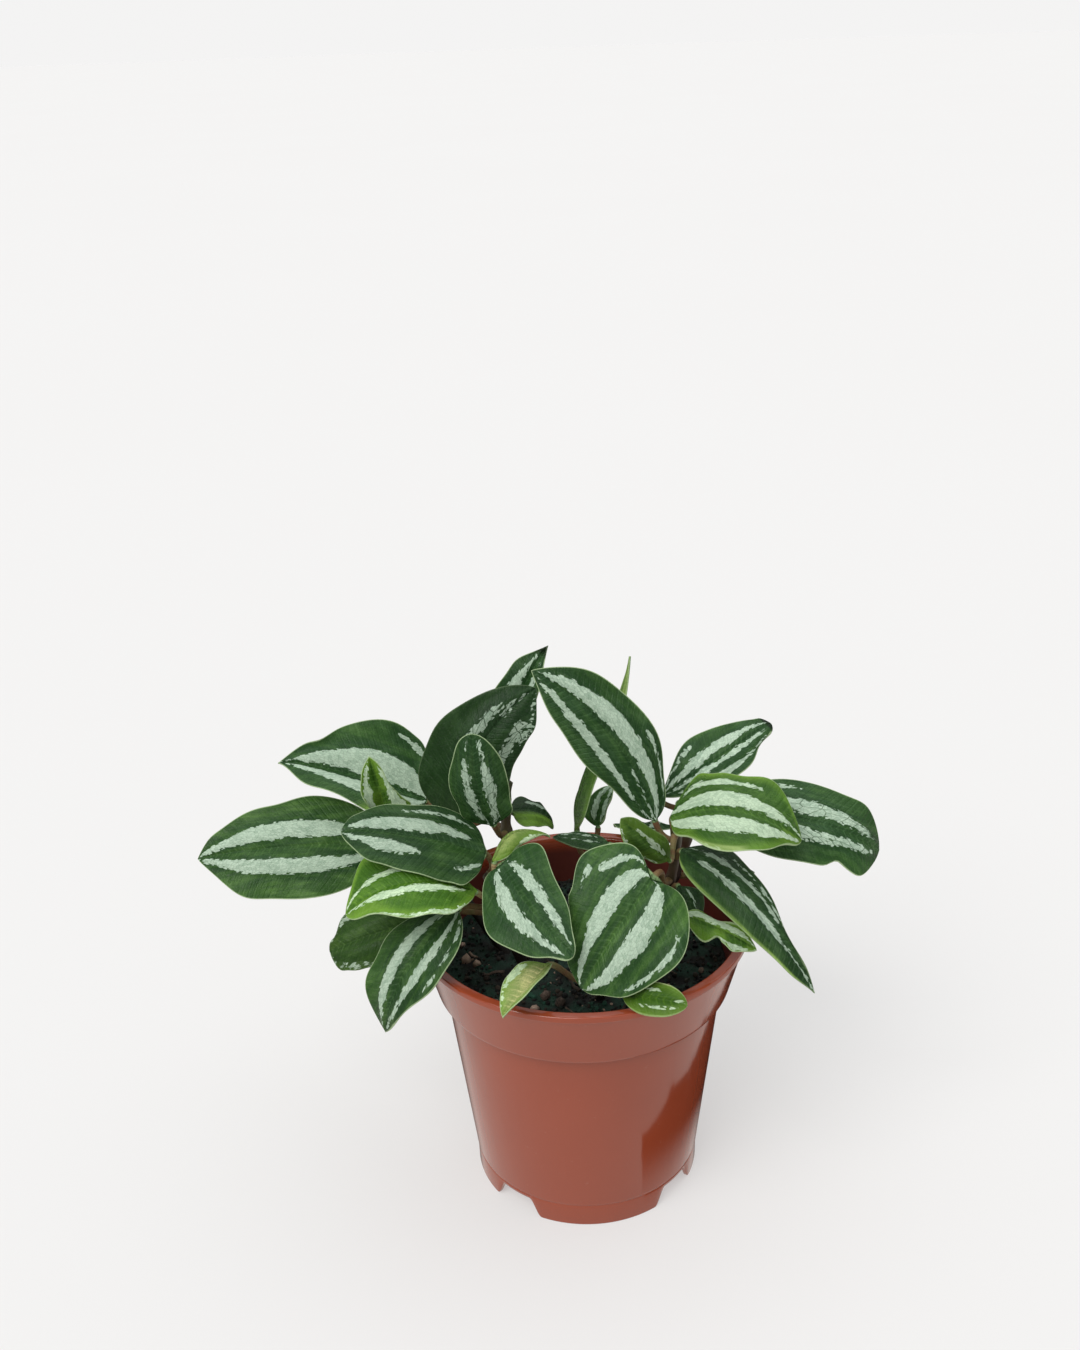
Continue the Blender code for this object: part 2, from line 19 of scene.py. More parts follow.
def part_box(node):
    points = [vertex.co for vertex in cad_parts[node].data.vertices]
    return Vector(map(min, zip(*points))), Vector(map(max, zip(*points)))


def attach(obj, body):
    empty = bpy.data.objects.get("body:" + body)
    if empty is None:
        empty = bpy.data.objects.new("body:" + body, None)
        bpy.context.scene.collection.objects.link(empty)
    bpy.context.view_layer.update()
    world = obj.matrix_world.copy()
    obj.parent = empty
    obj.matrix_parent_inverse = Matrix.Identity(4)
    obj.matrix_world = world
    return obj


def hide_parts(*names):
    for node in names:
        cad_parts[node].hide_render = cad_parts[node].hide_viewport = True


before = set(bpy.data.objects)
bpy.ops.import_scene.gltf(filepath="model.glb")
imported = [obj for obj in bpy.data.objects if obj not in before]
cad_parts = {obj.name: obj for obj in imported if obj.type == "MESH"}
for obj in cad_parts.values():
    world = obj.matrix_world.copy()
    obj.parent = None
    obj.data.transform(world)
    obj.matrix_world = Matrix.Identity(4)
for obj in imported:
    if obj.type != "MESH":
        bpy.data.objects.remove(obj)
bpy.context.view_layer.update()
print("pieces in the frame:", len(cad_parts))

# %% [markdown]
# Growers and mould makers think in millimetres, so all shapes below are worked out in millimetres
# from the pot's own axis. The axis is read from the pot in the frame: its middle seen from above.
# One function turns such points into metres in the shared frame.

# %% Units and the pot's axis
MM = 0.001
pot_low, pot_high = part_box("pot")
POT_AXIS = np.array([(pot_low.x + pot_high.x) / 2, (pot_low.y + pot_high.y) / 2, 0.0])
RIM_RADIUS = (pot_high.x - pot_low.x) / 2 / MM
POT_HEIGHT = pot_high.z / MM
print("rim radius and height:", round(RIM_RADIUS, 1), round(POT_HEIGHT, 1))


def in_frame(points):
    """Millimetres from the pot's axis become metres in the shared frame: scale, then shift."""
    return np.asarray(points, float) * MM + POT_AXIS


# %% [markdown]
# Node trees get long when every sum is a node wired by hand. A Wire holds one output socket and
# turns Python's own +, -, * and abs into Math nodes, so a mask can be written as `1 - band * 0.5`.
# Everything that is not arithmetic comes from one method of Nodes, which takes the node's kind, the
# node's own settings and what goes into its sockets. A Finish is a material in the making.


# %% Shader arithmetic
def maths(operation, swapped=False):
    """A method that adds a Math node, fed by a wire and perhaps another wire or number."""

    def method(wire, *others):
        tree = wire.socket.id_data
        node = tree.nodes.new("ShaderNodeMath")
        node.operation = operation
        values = (wire, *others)[::-1] if swapped else (wire, *others)
        for socket, value in zip(node.inputs, values):
            if isinstance(value, Wire):
                tree.links.new(value.socket, socket)
            else:
                socket.default_value = value
        return Wire(node.outputs[0])

    return method


class Wire:
    """One output of a shader node, with arithmetic that adds Math nodes to its tree."""

    __add__ = __radd__ = maths("ADD")
    __sub__ = maths("SUBTRACT")
    __rsub__ = maths("SUBTRACT", swapped=True)
    __mul__ = __rmul__ = maths("MULTIPLY")
    __abs__ = maths("ABSOLUTE")
    least = maths("MINIMUM")
    most = maths("MAXIMUM")

    def __init__(self, socket):
        self.socket = socket


# %% Materials from calls
MIX_FACTOR, MIX_A, MIX_B, MIX_RESULT = 0, 6, 7, 2  # the Mix node's colour sockets


class Nodes:
    """A node tree in the making: one method for any node, and a few shorthands on top of it."""

    def __init__(self, tree):
        self.tree = tree

    def node(self, kind, settings=None, inputs=None, output=0):
        """A node with its settings made first and its sockets fed second; returns one output."""
        made = self.tree.nodes.new("ShaderNode" + kind)
        for name, value in (settings or {}).items():
            setattr(made, name, value)
        for name, value in (inputs or {}).items():
            self.feed(made.inputs[name], value)
        return Wire(made.outputs[output])

    def feed(self, socket, value):
        """Link a wire to a socket, or set the socket's own number or colour."""
        if isinstance(value, Wire):
            self.tree.links.new(value.socket, socket)
        elif socket.type == "RGBA":
            socket.default_value = (*value, 1.0)
        else:
            socket.default_value = value

    def blend(self, factor, first, second, how="MIX"):
        """Two colours mixed by a factor."""
        settings = {"data_type": "RGBA", "blend_type": how}
        inputs = {MIX_FACTOR: factor, MIX_A: first, MIX_B: second}
        return self.node("Mix", settings, inputs, MIX_RESULT)

    def tinted(self, colour, tint):
        """A colour times another, channel by channel."""
        return self.blend(1.0, colour, tint, "MULTIPLY")

    def grey(self, value):
        """A colour with the same value in each channel."""
        return self.node("CombineColor", inputs=dict.fromkeys(("Red", "Green", "Blue"), value))

    def rise(self, value, low, high):
        """Nought below low, one above high, and a smooth step between them."""
        inputs = {"Value": value, "From Min": low, "From Max": high}
        return self.node("MapRange", {"interpolation_type": "SMOOTHSTEP"}, inputs)

    def stretched(self, vector, scale):
        """A vector with each of its three numbers multiplied by its own scale."""
        return self.node("VectorMath", {"operation": "MULTIPLY"}, {0: vector, 1: scale})

    def noise(self, vector, scale, detail=2.0, roughness=0.5):
        """Soft random values from about 0.2 to 0.8; scale is one number, or one for each axis."""
        if isinstance(scale, tuple):
            vector, scale = self.stretched(vector, scale), 1.0
        inputs = {"Vector": vector, "Scale": scale, "Detail": detail, "Roughness": roughness}
        return self.node("TexNoise", {"noise_dimensions": "3D"}, inputs)

    def cells(self, vector, feature="F1", output="Color"):
        """Cells round random points: their random colours, or how far off their edges are."""
        settings = {"voronoi_dimensions": "2D", "feature": feature}
        return self.node("TexVoronoi", settings, {"Vector": vector, "Scale": 1.0}, output)

    def object_place(self):
        """The place of a point of the surface, in metres: the object's own coordinates."""
        return self.node("TexCoord", output="Object")

    def parts(self, vector):
        """The three numbers of a vector as three wires."""
        split = self.node("SeparateXYZ", inputs={"Vector": vector})
        return split, Wire(split.socket.node.outputs[1]), Wire(split.socket.node.outputs[2])

    def attribute(self, name):
        """The three numbers that a mesh stores under a name at each of its points."""
        return self.parts(self.node("Attribute", {"attribute_name": name}, output="Vector"))


class Finish(Nodes):
    """A material in the making; specular is how strongly its clear skin mirrors."""

    def __init__(self, name, specular=0.5):
        self.material = bpy.data.materials.new(name)
        self.material.use_nodes = True
        super().__init__(self.material.node_tree)
        self.shader = self.tree.nodes["Principled BSDF"]
        self.shader.inputs["Specular IOR Level"].default_value = specular

    def skin(self, colour, roughness, height=None, depth=0.0):
        """Feed the shader: colour, roughness, and a bump whose height is in units of depth."""
        self.feed(self.shader.inputs["Base Color"], colour)
        self.feed(self.shader.inputs["Roughness"], roughness)
        if height is not None:
            inputs = {"Height": height, "Distance": depth}
            self.feed(self.shader.inputs["Normal"], self.node("Bump", inputs=inputs))
        print("finish:", self.material.name, "nodes:", len(self.tree.nodes))
        return self.material


# %% [markdown]
# Most pieces here are closed tubes in the widest sense: rings of points, one after another, joined
# by quads, with a point closing each end. A stem is such a tube, a leaf is one that goes flat, and
# even the pot is one that runs up its inside, down its outside and in under its floor. One
# function makes the mesh, and stores on it the values that the materials read.


# %% Rings of points
def polar(radius, theta, height):
    """Points at a radius and an angle round the upright axis, and at a height."""
    x, y = radius * np.cos(theta), radius * np.sin(theta)
    return np.stack([x, y, height + 0 * x], axis=-1)


def rings_round(centres, side, up, radius, around):
    """A circle round each centre: side times the cosine of each angle plus up times its sine."""
    theta = np.linspace(0, 2 * pi, around, endpoint=False)[:, None]
    circle = side[:, None] * np.cos(theta) + up[:, None] * np.sin(theta)
    return centres[:, None] + circle * np.reshape(radius, (-1, 1, 1))


def quads_between(rows, around):
    """Corner numbers of the quads that join each ring to the next, as an array of four columns."""
    ring = np.arange(rows - 1)[:, None] * around
    here = np.arange(around)[None, :]
    ahead = (here + 1) % around
    corners = (ring + here, ring + ahead, ring + around + ahead, ring + around + here)
    return np.stack(corners, axis=-1).reshape(-1, 4)


def fan(ring, point):
    """Triangles that close a ring of corners with one point."""
    return np.stack([ring, np.roll(ring, -1), np.full(len(ring), point)], axis=-1)


print("quads between two rings of six points:", quads_between(2, 6).tolist())


# %% Meshes from rings
def add_object(name, data):
    """A new object that holds the data, linked to the scene."""
    made = bpy.data.objects.new(name, data)
    bpy.context.scene.collection.objects.link(made)
    return made


def mesh_object(name, points, faces, material, values=None, uv=None):
    """A smooth object at the origin, from points in millimetres and lists of faces.

    values maps an attribute's name to three numbers a point, and uv holds two numbers a point.
    """
    mesh = bpy.data.meshes.new(name)
    mesh.from_pydata(in_frame(points).tolist(), [], faces)
    mesh.shade_smooth()
    for label, numbers in (values or {}).items():
        data = np.ascontiguousarray(numbers, np.float32)
        mesh.attributes.new(label, "FLOAT_VECTOR", "POINT").data.foreach_set("vector", data.ravel())
    if uv is not None:
        corner = np.zeros(len(mesh.loops), np.int32)
        mesh.loops.foreach_get("vertex_index", corner)
        layer = mesh.uv_layers.new(name="surface")
        layer.data.foreach_set("uv", np.asarray(uv, np.float32)[corner].ravel())
    mesh.materials.append(material)
    return add_object(name, mesh)


def closed_tube(name, rings, ends, material, values=None, uv=None):
    """A mesh through an array of rings, with a point to close the first ring and the last."""
    rows, around = rings.shape[:2]
    points = np.concatenate([rings.reshape(-1, 3), ends])
    faces = quads_between(rows, around).tolist()
    first = np.arange(around)[::-1]
    last = np.arange(around) + (rows - 1) * around
    faces += fan(first, rows * around).tolist()
    faces += fan(last, rows * around + 1).tolist()
    return mesh_object(name, points, faces, material, values, uv)


def install(piece, slot, *nodes):
    """Put a piece on the plant: it rides on the root and stands for given nodes; slot is not used."""
    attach(piece, "root")
    if nodes:
        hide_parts(*nodes)
    return piece


# %% [markdown]
# Stems and leaf stalks bend smoothly, and so do the midribs of leaves. A cubic curve with four
# points describes each of them: it is short to write, and its slope is known everywhere, which
# gives the direction that a ring of points has to stand across.


# %% Directions and curves
def unit(v):
    """Each row divided by its own length."""
    v = np.asarray(v, float)
    return v / np.maximum(np.linalg.norm(v, axis=-1, keepdims=True), 1e-9)


def facing(azimuth, elevation):
    """A direction from a compass angle, counted from +X, and an angle above level."""
    a, e = radians(azimuth), radians(elevation)
    return np.array([cos(e) * cos(a), cos(e) * sin(a), sin(e)])


def bezier(points, s):
    """Places and directions along a cubic curve.

    A place is the sum of the four points, weighted by r^3, 3 r^2 s, 3 r s^2 and s^3, where r is
    1 - s. The direction is that sum's derivative: the three steps between the points, weighted by
    3 r^2, 6 r s and 3 s^2.
    """
    p0, p1, p2, p3 = np.asarray(points, float)
    s = np.asarray(s, float)[..., None]
    r = 1 - s
    place = r**3 * p0 + 3 * r * r * s * p1 + 3 * r * s * s * p2 + s**3 * p3
    slope = 3 * r * r * (p1 - p0) + 6 * r * s * (p2 - p1) + 3 * s * s * (p3 - p2)
    return place, unit(slope)


def stem_curve(points, s):
    """The cubic that passes through the four given points, at its ends and thirds."""
    p0, p1, p2, p3 = np.asarray(points, float)
    c1 = (-5 * p0 + 18 * p1 - 9 * p2 + 2 * p3) / 6
    c2 = (2 * p0 - 9 * p1 + 18 * p2 - 5 * p3) / 6
    return bezier((p0, c1, c2, p3), s)


def carried_sides(along, side):
    """A side direction carried down a path: at each point, what is across the path is kept."""
    sides = np.empty_like(along)
    for i, direction in enumerate(along):
        side = unit(side - direction * (side @ direction))
        sides[i] = side
    return sides


print("a direction half way up, to the left:", facing(180, 45).round(3))

# %% [markdown]
# The plain solids were shaped by two tables, and the fine shapes take nearly the same numbers. A
# stem has a radius at the soil, one at its tip, and four points. A leaf grows from a stem at a
# share of that stem's length. It has a base, a tip, a width, and the compass angle and height that
# its upper side looks to. Where a leaf differs from a plain blade, its row says how: rise and bend
# bow its midrib up and sideways, cup curls it across and fold tilts its two halves, skew and lobe
# slide its edges back, belly is where it is widest, point is how it narrows, and wave ripples it.

# %% Table of stems
STEMS = {
    "left_front": (2, 1.5, [(-20, -9, 88), (-25, -12, 104), (-29, -13, 119), (-32, -14, 131)]),
    "left": (1.9, 1.5, [(-28, 2, 88), (-40, 7, 105), (-51, 11, 121), (-58, 12, 135)]),
    "left_back": (2, 1.5, [(-18, 8, 88), (-23, 9, 111), (-26, 9, 133), (-25, 13, 153)]),
    "right": (2.1, 1.5, [(18, -4, 88), (26, -5, 107), (32, -6, 126), (33, -6, 144)]),
    "right_back": (2, 1.5, [(24, 12, 88), (32, 14, 106), (38, 15, 123), (40, 15, 139)]),
    "back": (1.8, 1.4, [(4, 26, 88), (4, 29, 97), (4, 31, 105), (5, 32, 113)]),
    "front": (1.6, 1.2, [(6, -26, 88), (6, -30, 94), (6, -33, 99), (5, -35, 104)]),
}
print("stems:", len(STEMS))


# %% Table of leaves
def blade(stem, at, base, tip, width, face, **bends):
    """One leaf's numbers by name: a plain blade's, and what this one has instead."""
    plain = dict(rise=(4, 4), bend=0, cup=18, fold=0, skew=0, belly=0.42, point=0.75, lobe=0, wave=0)
    return {**plain, **bends, "stem": stem, "at": at, "base": base, "tip": tip, "width": width, "face": face}


LEAVES = {
    "far_left": blade("left", 0.86, (-67, 6, 132), (-136, 0, 132), 38, (-90, 42), rise=(5, 4), bend=-2,
        cup=12, belly=0.45, point=0.85),
    "upper_left": blade("left", 0.96, (-57, 28, 138), (-108, 22, 159), 42, (-95, 66), rise=(5, 5), cup=6,
        fold=0.5, belly=0.34, point=1.1),
    "folded_young": blade("left", 1, (-67, 0, 148), (-71, -3, 172), 15, (-80, 5), rise=(1, 1), cup=0,
        fold=0.6, belly=0.32),
    "dark_upright": blade("left_back", 0.8, (-42, 8, 140), (-14, 18, 187), 31, (-100, 5), rise=(6, 5),
        bend=9),
    "oval_upright": blade("left_back", 0.7, (-30, -4, 146), (-35, -10, 183), 21.5, (-95, 15), bend=2, cup=30,
        belly=0.5, point=0.5),
    "behind_oval": blade("left_back", 0.9, (-24, 15, 140), (-9, 20, 130), 18, (-70, 75), rise=(6, 5), cup=20,
        belly=0.32),
    "mid_left": blade("left_front", 1, (-33, -14, 140), (-80, -20, 154), 31, (-90, 66), rise=(5, 5), cup=10,
        belly=0.36, point=0.6),
    "bright_left": blade("left_front", 0.8, (-36, -24, 131), (-79, -36, 131), 28, (-90, 72), rise=(13, 15),
        cup=14, belly=0.5, point=0.6),
    "low_left": blade("left_front", 0.6, (-47, -12, 115), (-89, -18, 104), 27, (-105, 45), rise=(5, 4),
        belly=0.5, point=0.5),
    "drooping_left": blade("left_front", 0.7, (-42, -26, 125), (-68, -44, 88), 28, (-120, 35), rise=(13, 13),
        point=0.9),
    "front_left": blade("left_front", 0.72, (-26, -25, 141), (-3, -58, 128), 25, (-95, 45), rise=(3, 2),
        bend=-2, skew=0.25, point=0.55, lobe=0.35),
    "edge_on": blade("left_front", 0.92, (-29, -18, 139), (-10, -6, 142), 13, (190, 60), rise=(12, 5),
        cup=115, belly=0.3, point=1.3),
    "front_round": blade("right", 0.62, (23, -34, 140), (-1, -54, 112), 39, (-105, 35), skew=-0.25, belly=0.4,
        point=0.6, lobe=0.35),
    "young_right": blade("right", 0.95, (30, -16, 137), (14, -19, 155), 14, (-90, 30), rise=(3, 2),
        belly=0.5),
    "long_right": blade("right", 0.8, (35, -14, 139), (76, -50, 106), 19, (-75, 60), rise=(14, 7), bend=1,
        belly=0.33, point=1),
    "bright_right": blade("right", 1, (32, -10, 150), (74, -26, 150), 33, (-90, 65), rise=(15, 14), skew=0.2,
        belly=0.35, point=0.6),
    "far_right": blade("right_back", 0.9, (50, 6, 143), (105, -4, 132), 31, (-90, 52), rise=(13, 15),
        belly=0.47, point=0.5),
    "upper_right": blade("right_back", 1, (30, 16, 144), (71, 36, 163), 19, (-90, 55), rise=(6, 6), bend=-2,
        belly=0.56, point=0.6),
    "tall": blade("right", 0.9, (26, -4, 146), (-15, 6, 199), 28, (-90, 30), bend=-9, point=0.85),
    "top": blade("left_back", 1, (-32, 24, 156), (-10, 30, 198), 18, (-120, 20), rise=(3, 2), fold=0.4,
        point=1),
    "profile": blade("back", 0.9, (-1, 30, 123), (19, 44, 187), 16, (190, 5), rise=(9, -7), cup=35, belly=0.4,
        point=1.1),
    "back_small": blade("back", 1, (7, 38, 120), (13, 46, 133), 11, (-120, 40), rise=(2, 2), bend=2),
    "back_flat": blade("back", 0.8, (10, 18, 124), (-10, 22, 125), 8, (-90, 70), rise=(1, 1)),
    "wavy_right": blade("right", 0.25, (35, -26, 121), (58, -38, 115), 12, (-60, 60), rise=(3, 2), wave=2),
    "pale_front": blade("front", 0.8, (-12, -44, 114), (-26, -66, 111), 13, (-130, 32), rise=(2, 1), fold=0.8,
        bend=1.5),
    "young_front": blade("front", 1, (13, -52, 108), (33, -62, 111), 12, (-80, 50), rise=(2, 2), belly=0.5,
        point=0.6),
    "dark_right": blade("right", 0.42, (34, -13, 124), (38, -19, 112), 15, (-70, 50), rise=(3, 2)),
    "rear_left_upper": blade("left_back", 0.7, (-42, 35, 132), (-82, 60, 118), 31, (150, 62), rise=(6, 6)),
    "rear_left_mid": blade("left_back", 0.6, (-34, 38, 124), (-58, 80, 98), 29, (120, 50), rise=(6, 6)),
    "rear_left_low": blade("left", 0.5, (-50, 26, 112), (-94, 46, 92), 27, (160, 50), rise=(6, 6)),
    "rear_right_upper": blade("right_back", 0.75, (48, 30, 126), (88, 54, 110), 30, (30, 62), rise=(6, 6)),
    "rear_right_mid": blade("right_back", 0.6, (44, 36, 124), (64, 80, 100), 30, (60, 50), rise=(6, 6)),
    "rear_right_low": blade("right_back", 0.45, (51, 23, 111), (62, 64, 84), 22, (35, 50), rise=(6, 6)),
    "rear_centre": blade("back", 0.6, (25, 48, 112), (28, 92, 84), 26, (85, 45), rise=(6, 6)),
}
print("leaves:", len(LEAVES))

# %% [markdown]
# No real leaf has the outline of a formula. This table holds each leaf's own shoulders, hollows
# and lobes: on which side (1 is the blade's left, -1 its right), where along the length, how far
# that reaches to both sides, and how much of the half width it adds or takes.

# %% Shoulders and hollows
BULGES = {
    "far_left": [(1, 0.8, 0.13, 0.26), (-1, 0.58, 0.12, -0.12), (-1, 0.95, 0.06, 0.2)],
    "upper_left": [(1, 0.86, 0.12, 0.35), (-1, 0.08, 0.09, 0.2), (-1, 0.77, 0.07, -0.22)],
    "folded_young": [(1, 0.3, 0.2, -0.4), (1, 0.9, 0.1, 0.2), (-1, 0.2, 0.1, 0.3), (-1, 0.65, 0.2, -0.35)],
    "dark_upright": [(1, 0.15, 0.2, 0.35), (1, 0.5, 0.15, 0.14), (-1, 0.5, 0.15, -0.12),
        (-1, 0.88, 0.1, 0.3)],
    "oval_upright": [(1, 0.08, 0.12, 0.4), (1, 0.8, 0.18, -0.18), (-1, 0.05, 0.12, 0.4)],
    "behind_oval": [(1, 0.45, 0.15, -0.3), (1, 0.95, 0.06, 0.4), (-1, 0.6, 0.4, -0.25)],
    "mid_left": [(1, 0.13, 0.06, 0.14), (1, 0.82, 0.1, 0.24), (-1, 0.55, 0.16, -0.15),
        (-1, 0.97, 0.05, 0.25)],
    "bright_left": [(1, 0.24, 0.12, 0.16), (1, 0.82, 0.16, -0.25), (-1, 0.3, 0.1, -0.2),
        (-1, 0.8, 0.12, 0.5)],
    "low_left": [(1, 0.7, 0.1, -0.15), (1, 0.97, 0.06, 0.3), (-1, 0.93, 0.06, -0.4)],
    "drooping_left": [(1, 0.4, 0.2, -0.15), (1, 0.8, 0.22, -0.32), (-1, 0.82, 0.18, 0.38)],
    "front_left": [(1, 0.16, 0.2, 0.38), (1, 0.92, 0.12, -0.22), (-1, 0.38, 0.18, 0.3),
        (-1, 0.9, 0.12, -0.3)],
    "front_round": [(1, 0.3, 0.2, 0.18), (1, 0.93, 0.08, -0.22), (-1, 0.35, 0.18, 0.28),
        (-1, 0.6, 0.05, 0.08), (-1, 0.79, 0.06, -0.18), (-1, 0.95, 0.05, 0.2)],
    "young_right": [(1, 0.3, 0.15, -0.2), (-1, 0.6, 0.3, -0.4)],
    "long_right": [(1, 0.12, 0.14, 0.4), (1, 0.74, 0.15, -0.5), (-1, 0.9, 0.1, 0.35)],
    "bright_right": [(1, 0.1, 0.12, 0.4), (1, 0.83, 0.18, 0.4), (-1, 0.12, 0.12, -0.25),
        (-1, 0.9, 0.1, -0.28)],
    "far_right": [(1, 0.9, 0.12, 0.28), (-1, 0.74, 0.05, -0.18), (-1, 0.91, 0.08, 0.42)],
    "upper_right": [(1, 0.35, 0.28, 0.5), (1, 0.98, 0.04, 0.3), (-1, 0.84, 0.13, -0.46)],
    "tall": [(1, 0.2, 0.18, -0.22), (1, 0.85, 0.12, 0.15), (-1, 0.15, 0.13, -0.22), (-1, 0.82, 0.15, 0.22)],
    "top": [(1, 0.82, 0.12, 0.4)],
    "back_flat": [(1, 0.3, 0.2, 0.15), (-1, 0.75, 0.1, -0.25)],
    "back_small": [(1, 0.25, 0.2, 0.4), (-1, 0.4, 0.4, -0.45)],
    "wavy_right": [(-1, 0.5, 0.07, -0.5), (-1, 0.76, 0.1, 0.5), (1, 0.45, 0.3, -0.3)],
    "profile": [(1, 0.08, 0.14, 0.9), (-1, 0.08, 0.14, 0.9)],
}


def bulge(leaf, s, t):
    """The sum of the leaf's bells along the length, each on its own side of the midrib."""
    total = np.zeros_like(s + t)
    for side, where, reach, amount in leaf["bulges"]:
        total = total + amount * np.exp(-(((s - where) / reach) ** 2)) * (t * side > 0)
    return total


print("leaves with an outline of their own:", len(BULGES))

# %% [markdown]
# A blade is a surface over two numbers: s runs along the midrib from base to tip, and t runs
# across it from edge to edge, with nought on the midrib. The first cell is the plain blade, close
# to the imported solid. The second adds what makes a leaf look grown: the crease of the midrib, soft
# pleats between the long veins, edges that ripple, and a tip that droops a little.


# %% The plain blade
def blade_frame(leaf):
    """The blade's own axes: along its length, out of its upper side, and to its left."""
    base, tip = np.array(leaf["base"], float), np.array(leaf["tip"], float)
    along = unit(tip - base)
    up = facing(*leaf["face"])
    up = unit(up - along * (up @ along))
    return base, tip, along, up, np.cross(up, along)


def midrib(leaf):
    """Four points of the blade's middle line, the inner two moved by rise and bend."""
    base, tip, along, up, left = blade_frame(leaf)
    third = np.linalg.norm(tip - base) / 3
    rise_near, rise_far = leaf["rise"]
    bend = leaf["bend"]
    near = base + along * third + up * rise_near + left * bend
    far = tip - along * third + up * rise_far + left * bend
    return base, near, far, tip


def half_width(leaf, s):
    """s to the power p times 1 - s to the power q, scaled so that its peak is half the width."""
    q = leaf["point"]
    p = leaf["belly"] * q / (1 - leaf["belly"])
    peak = leaf["belly"] ** p * (1 - leaf["belly"]) ** q
    return leaf["width"] / 2 * s**p * (1 - s) ** q / peak


def plain_blade(leaf, s, t):
    """Points, upward directions and side directions of the middle surface.

    Across the midrib, each half is an arc of cup degrees, tilted by fold. Lobe slides it back
    near the base, skew slides its two halves apart, and wave ripples its edge. A bulge moves
    points out by the square of t, so that it shapes the edge and leaves the bands alone.
    """
    left = blade_frame(leaf)[-1]
    middle, along = bezier(midrib(leaf), s)
    side = unit(left - along * np.sum(left * along, -1, keepdims=True))
    normal = np.cross(along, side)
    w = half_width(leaf, s)
    full = 2 * w / leaf["width"]
    angle = np.radians(leaf["cup"]) * full * t + 1e-6
    across = w * t * np.sin(angle) / angle * (1 + bulge(leaf, s, t) * t * t)
    lift = -w * np.abs(t) * np.abs((1 - np.cos(angle)) / angle) + leaf["fold"] * w * np.abs(t)
    lift += leaf["wave"] * t * np.abs(t) * np.sin(pi * (3 * s + 0.5 * t)) * full
    back = leaf["lobe"] * leaf["width"] * np.abs(t) ** 1.5 * full * (1 - s) ** 3
    back += leaf["skew"] * across
    points = middle + side * across[..., None]
    points = points + normal * lift[..., None] - along * back[..., None]
    return points, normal, side


print("width of the tall leaf at its middle:", round(2 * half_width(LEAVES["tall"], 0.5), 1))

# %% What makes it look grown
PLEAT = 0.55  # height of the soft ridges between the long veins
PLEAT_WIDTH = 0.7  # from one furrow to the next, as a share of the half width
CREASE = 0.4  # depth of the furrow over the midrib
CREASE_WIDTH = 0.09
RIPPLE = 0.75  # height of the ripples along the edges
TIP_DROOP = 1.6


def relief(leaf, s, t, chance):
    """How far the upper surface stands off the plain blade, in millimetres.

    It is the sum of a cosine across the blade, which makes the pleats, a narrow bell over the
    midrib, sines along each edge that grow with the cube of the distance from the midrib, and a
    droop that sets in near the tip. chance gives the ripples their lengths and phases.
    """
    distance = np.abs(t)
    size = min(1.0, leaf["width"] / 30)
    body = np.sin(pi * np.clip(s, 0, 1)) ** 0.7
    pleats = -np.cos(2 * pi * distance / PLEAT_WIDTH) * (1 - 0.45 * distance)
    crease = -np.exp(-((t / CREASE_WIDTH) ** 2)) * (1 - s) ** 0.4
    cycles = chance.uniform(1.3, 2.6, 2)
    phases = chance.uniform(0, 2 * pi, 2)
    near = np.sin(2 * pi * cycles[0] * s + phases[0])
    far = np.sin(2 * pi * cycles[1] * s + phases[1])
    ripple = np.where(t > 0, near, far) * distance**3
    droop = -(np.clip((s - 0.78) / 0.22, 0, 1) ** 2)
    return size * (body * (PLEAT * pleats + CREASE * crease + RIPPLE * ripple) + TIP_DROOP * droop)


print("pleats, crease, ripples and droop in millimetres:", PLEAT, CREASE, RIPPLE, TIP_DROOP)

# %% [markdown]
# Real leaves of this kind are about 0.8 mm thick, with a rounded edge and a rib that stands out
# below. Their stalks are round, a little swollen where they leave the stem, and run into the rib.
# So a ring round the stalk turns, ring by ring, into a ring round the blade: each ring has the
# same number of points, at the same angles, and only its half width and half height change.

# %% Rings of a leaf with its stalk
BLADE_START = 0.004  # share of the blade's length where its first ring is
HALF_THICKNESS = 0.42
STALK_RADIUS = 1.15
STALK_FADE = 0.03
STALK_RINGS = 12
STALK_WAIST = 0.12  # how much thinner the stalk is half way
STALK_FOOT = 0.22  # how much thicker it is where it leaves the stem
STALK_FOOT_LENGTH = 0.12
RIB_HEIGHT = 0.9
RIB_WIDTH = 0.08


def stalk_path(leaf, first_side, first_along):
    """The stalk from inside the stem to the blade: each ring's share of the way, centre and axes."""
    start_radius, end_radius, points = STEMS[leaf["stem"]]
    seat, climb = stem_curve(points, leaf["at"])
    radius = start_radius + (end_radius - start_radius) * leaf["at"]
    base = np.array(leaf["base"], float)
    out = base - seat
    out = unit(out - climb * (out @ climb))
    first = seat + out * (radius - 0.6)
    reach = np.linalg.norm(base - first)
    controls = (first, first + out * reach * 0.4, base - first_along * reach * 0.35, base)
    u = np.linspace(0, 1, STALK_RINGS + 1)[:-1]
    centres, along = bezier(controls, u)
    side = carried_sides(along[::-1], first_side)[::-1]
    return u, centres, side, np.cross(along, side)


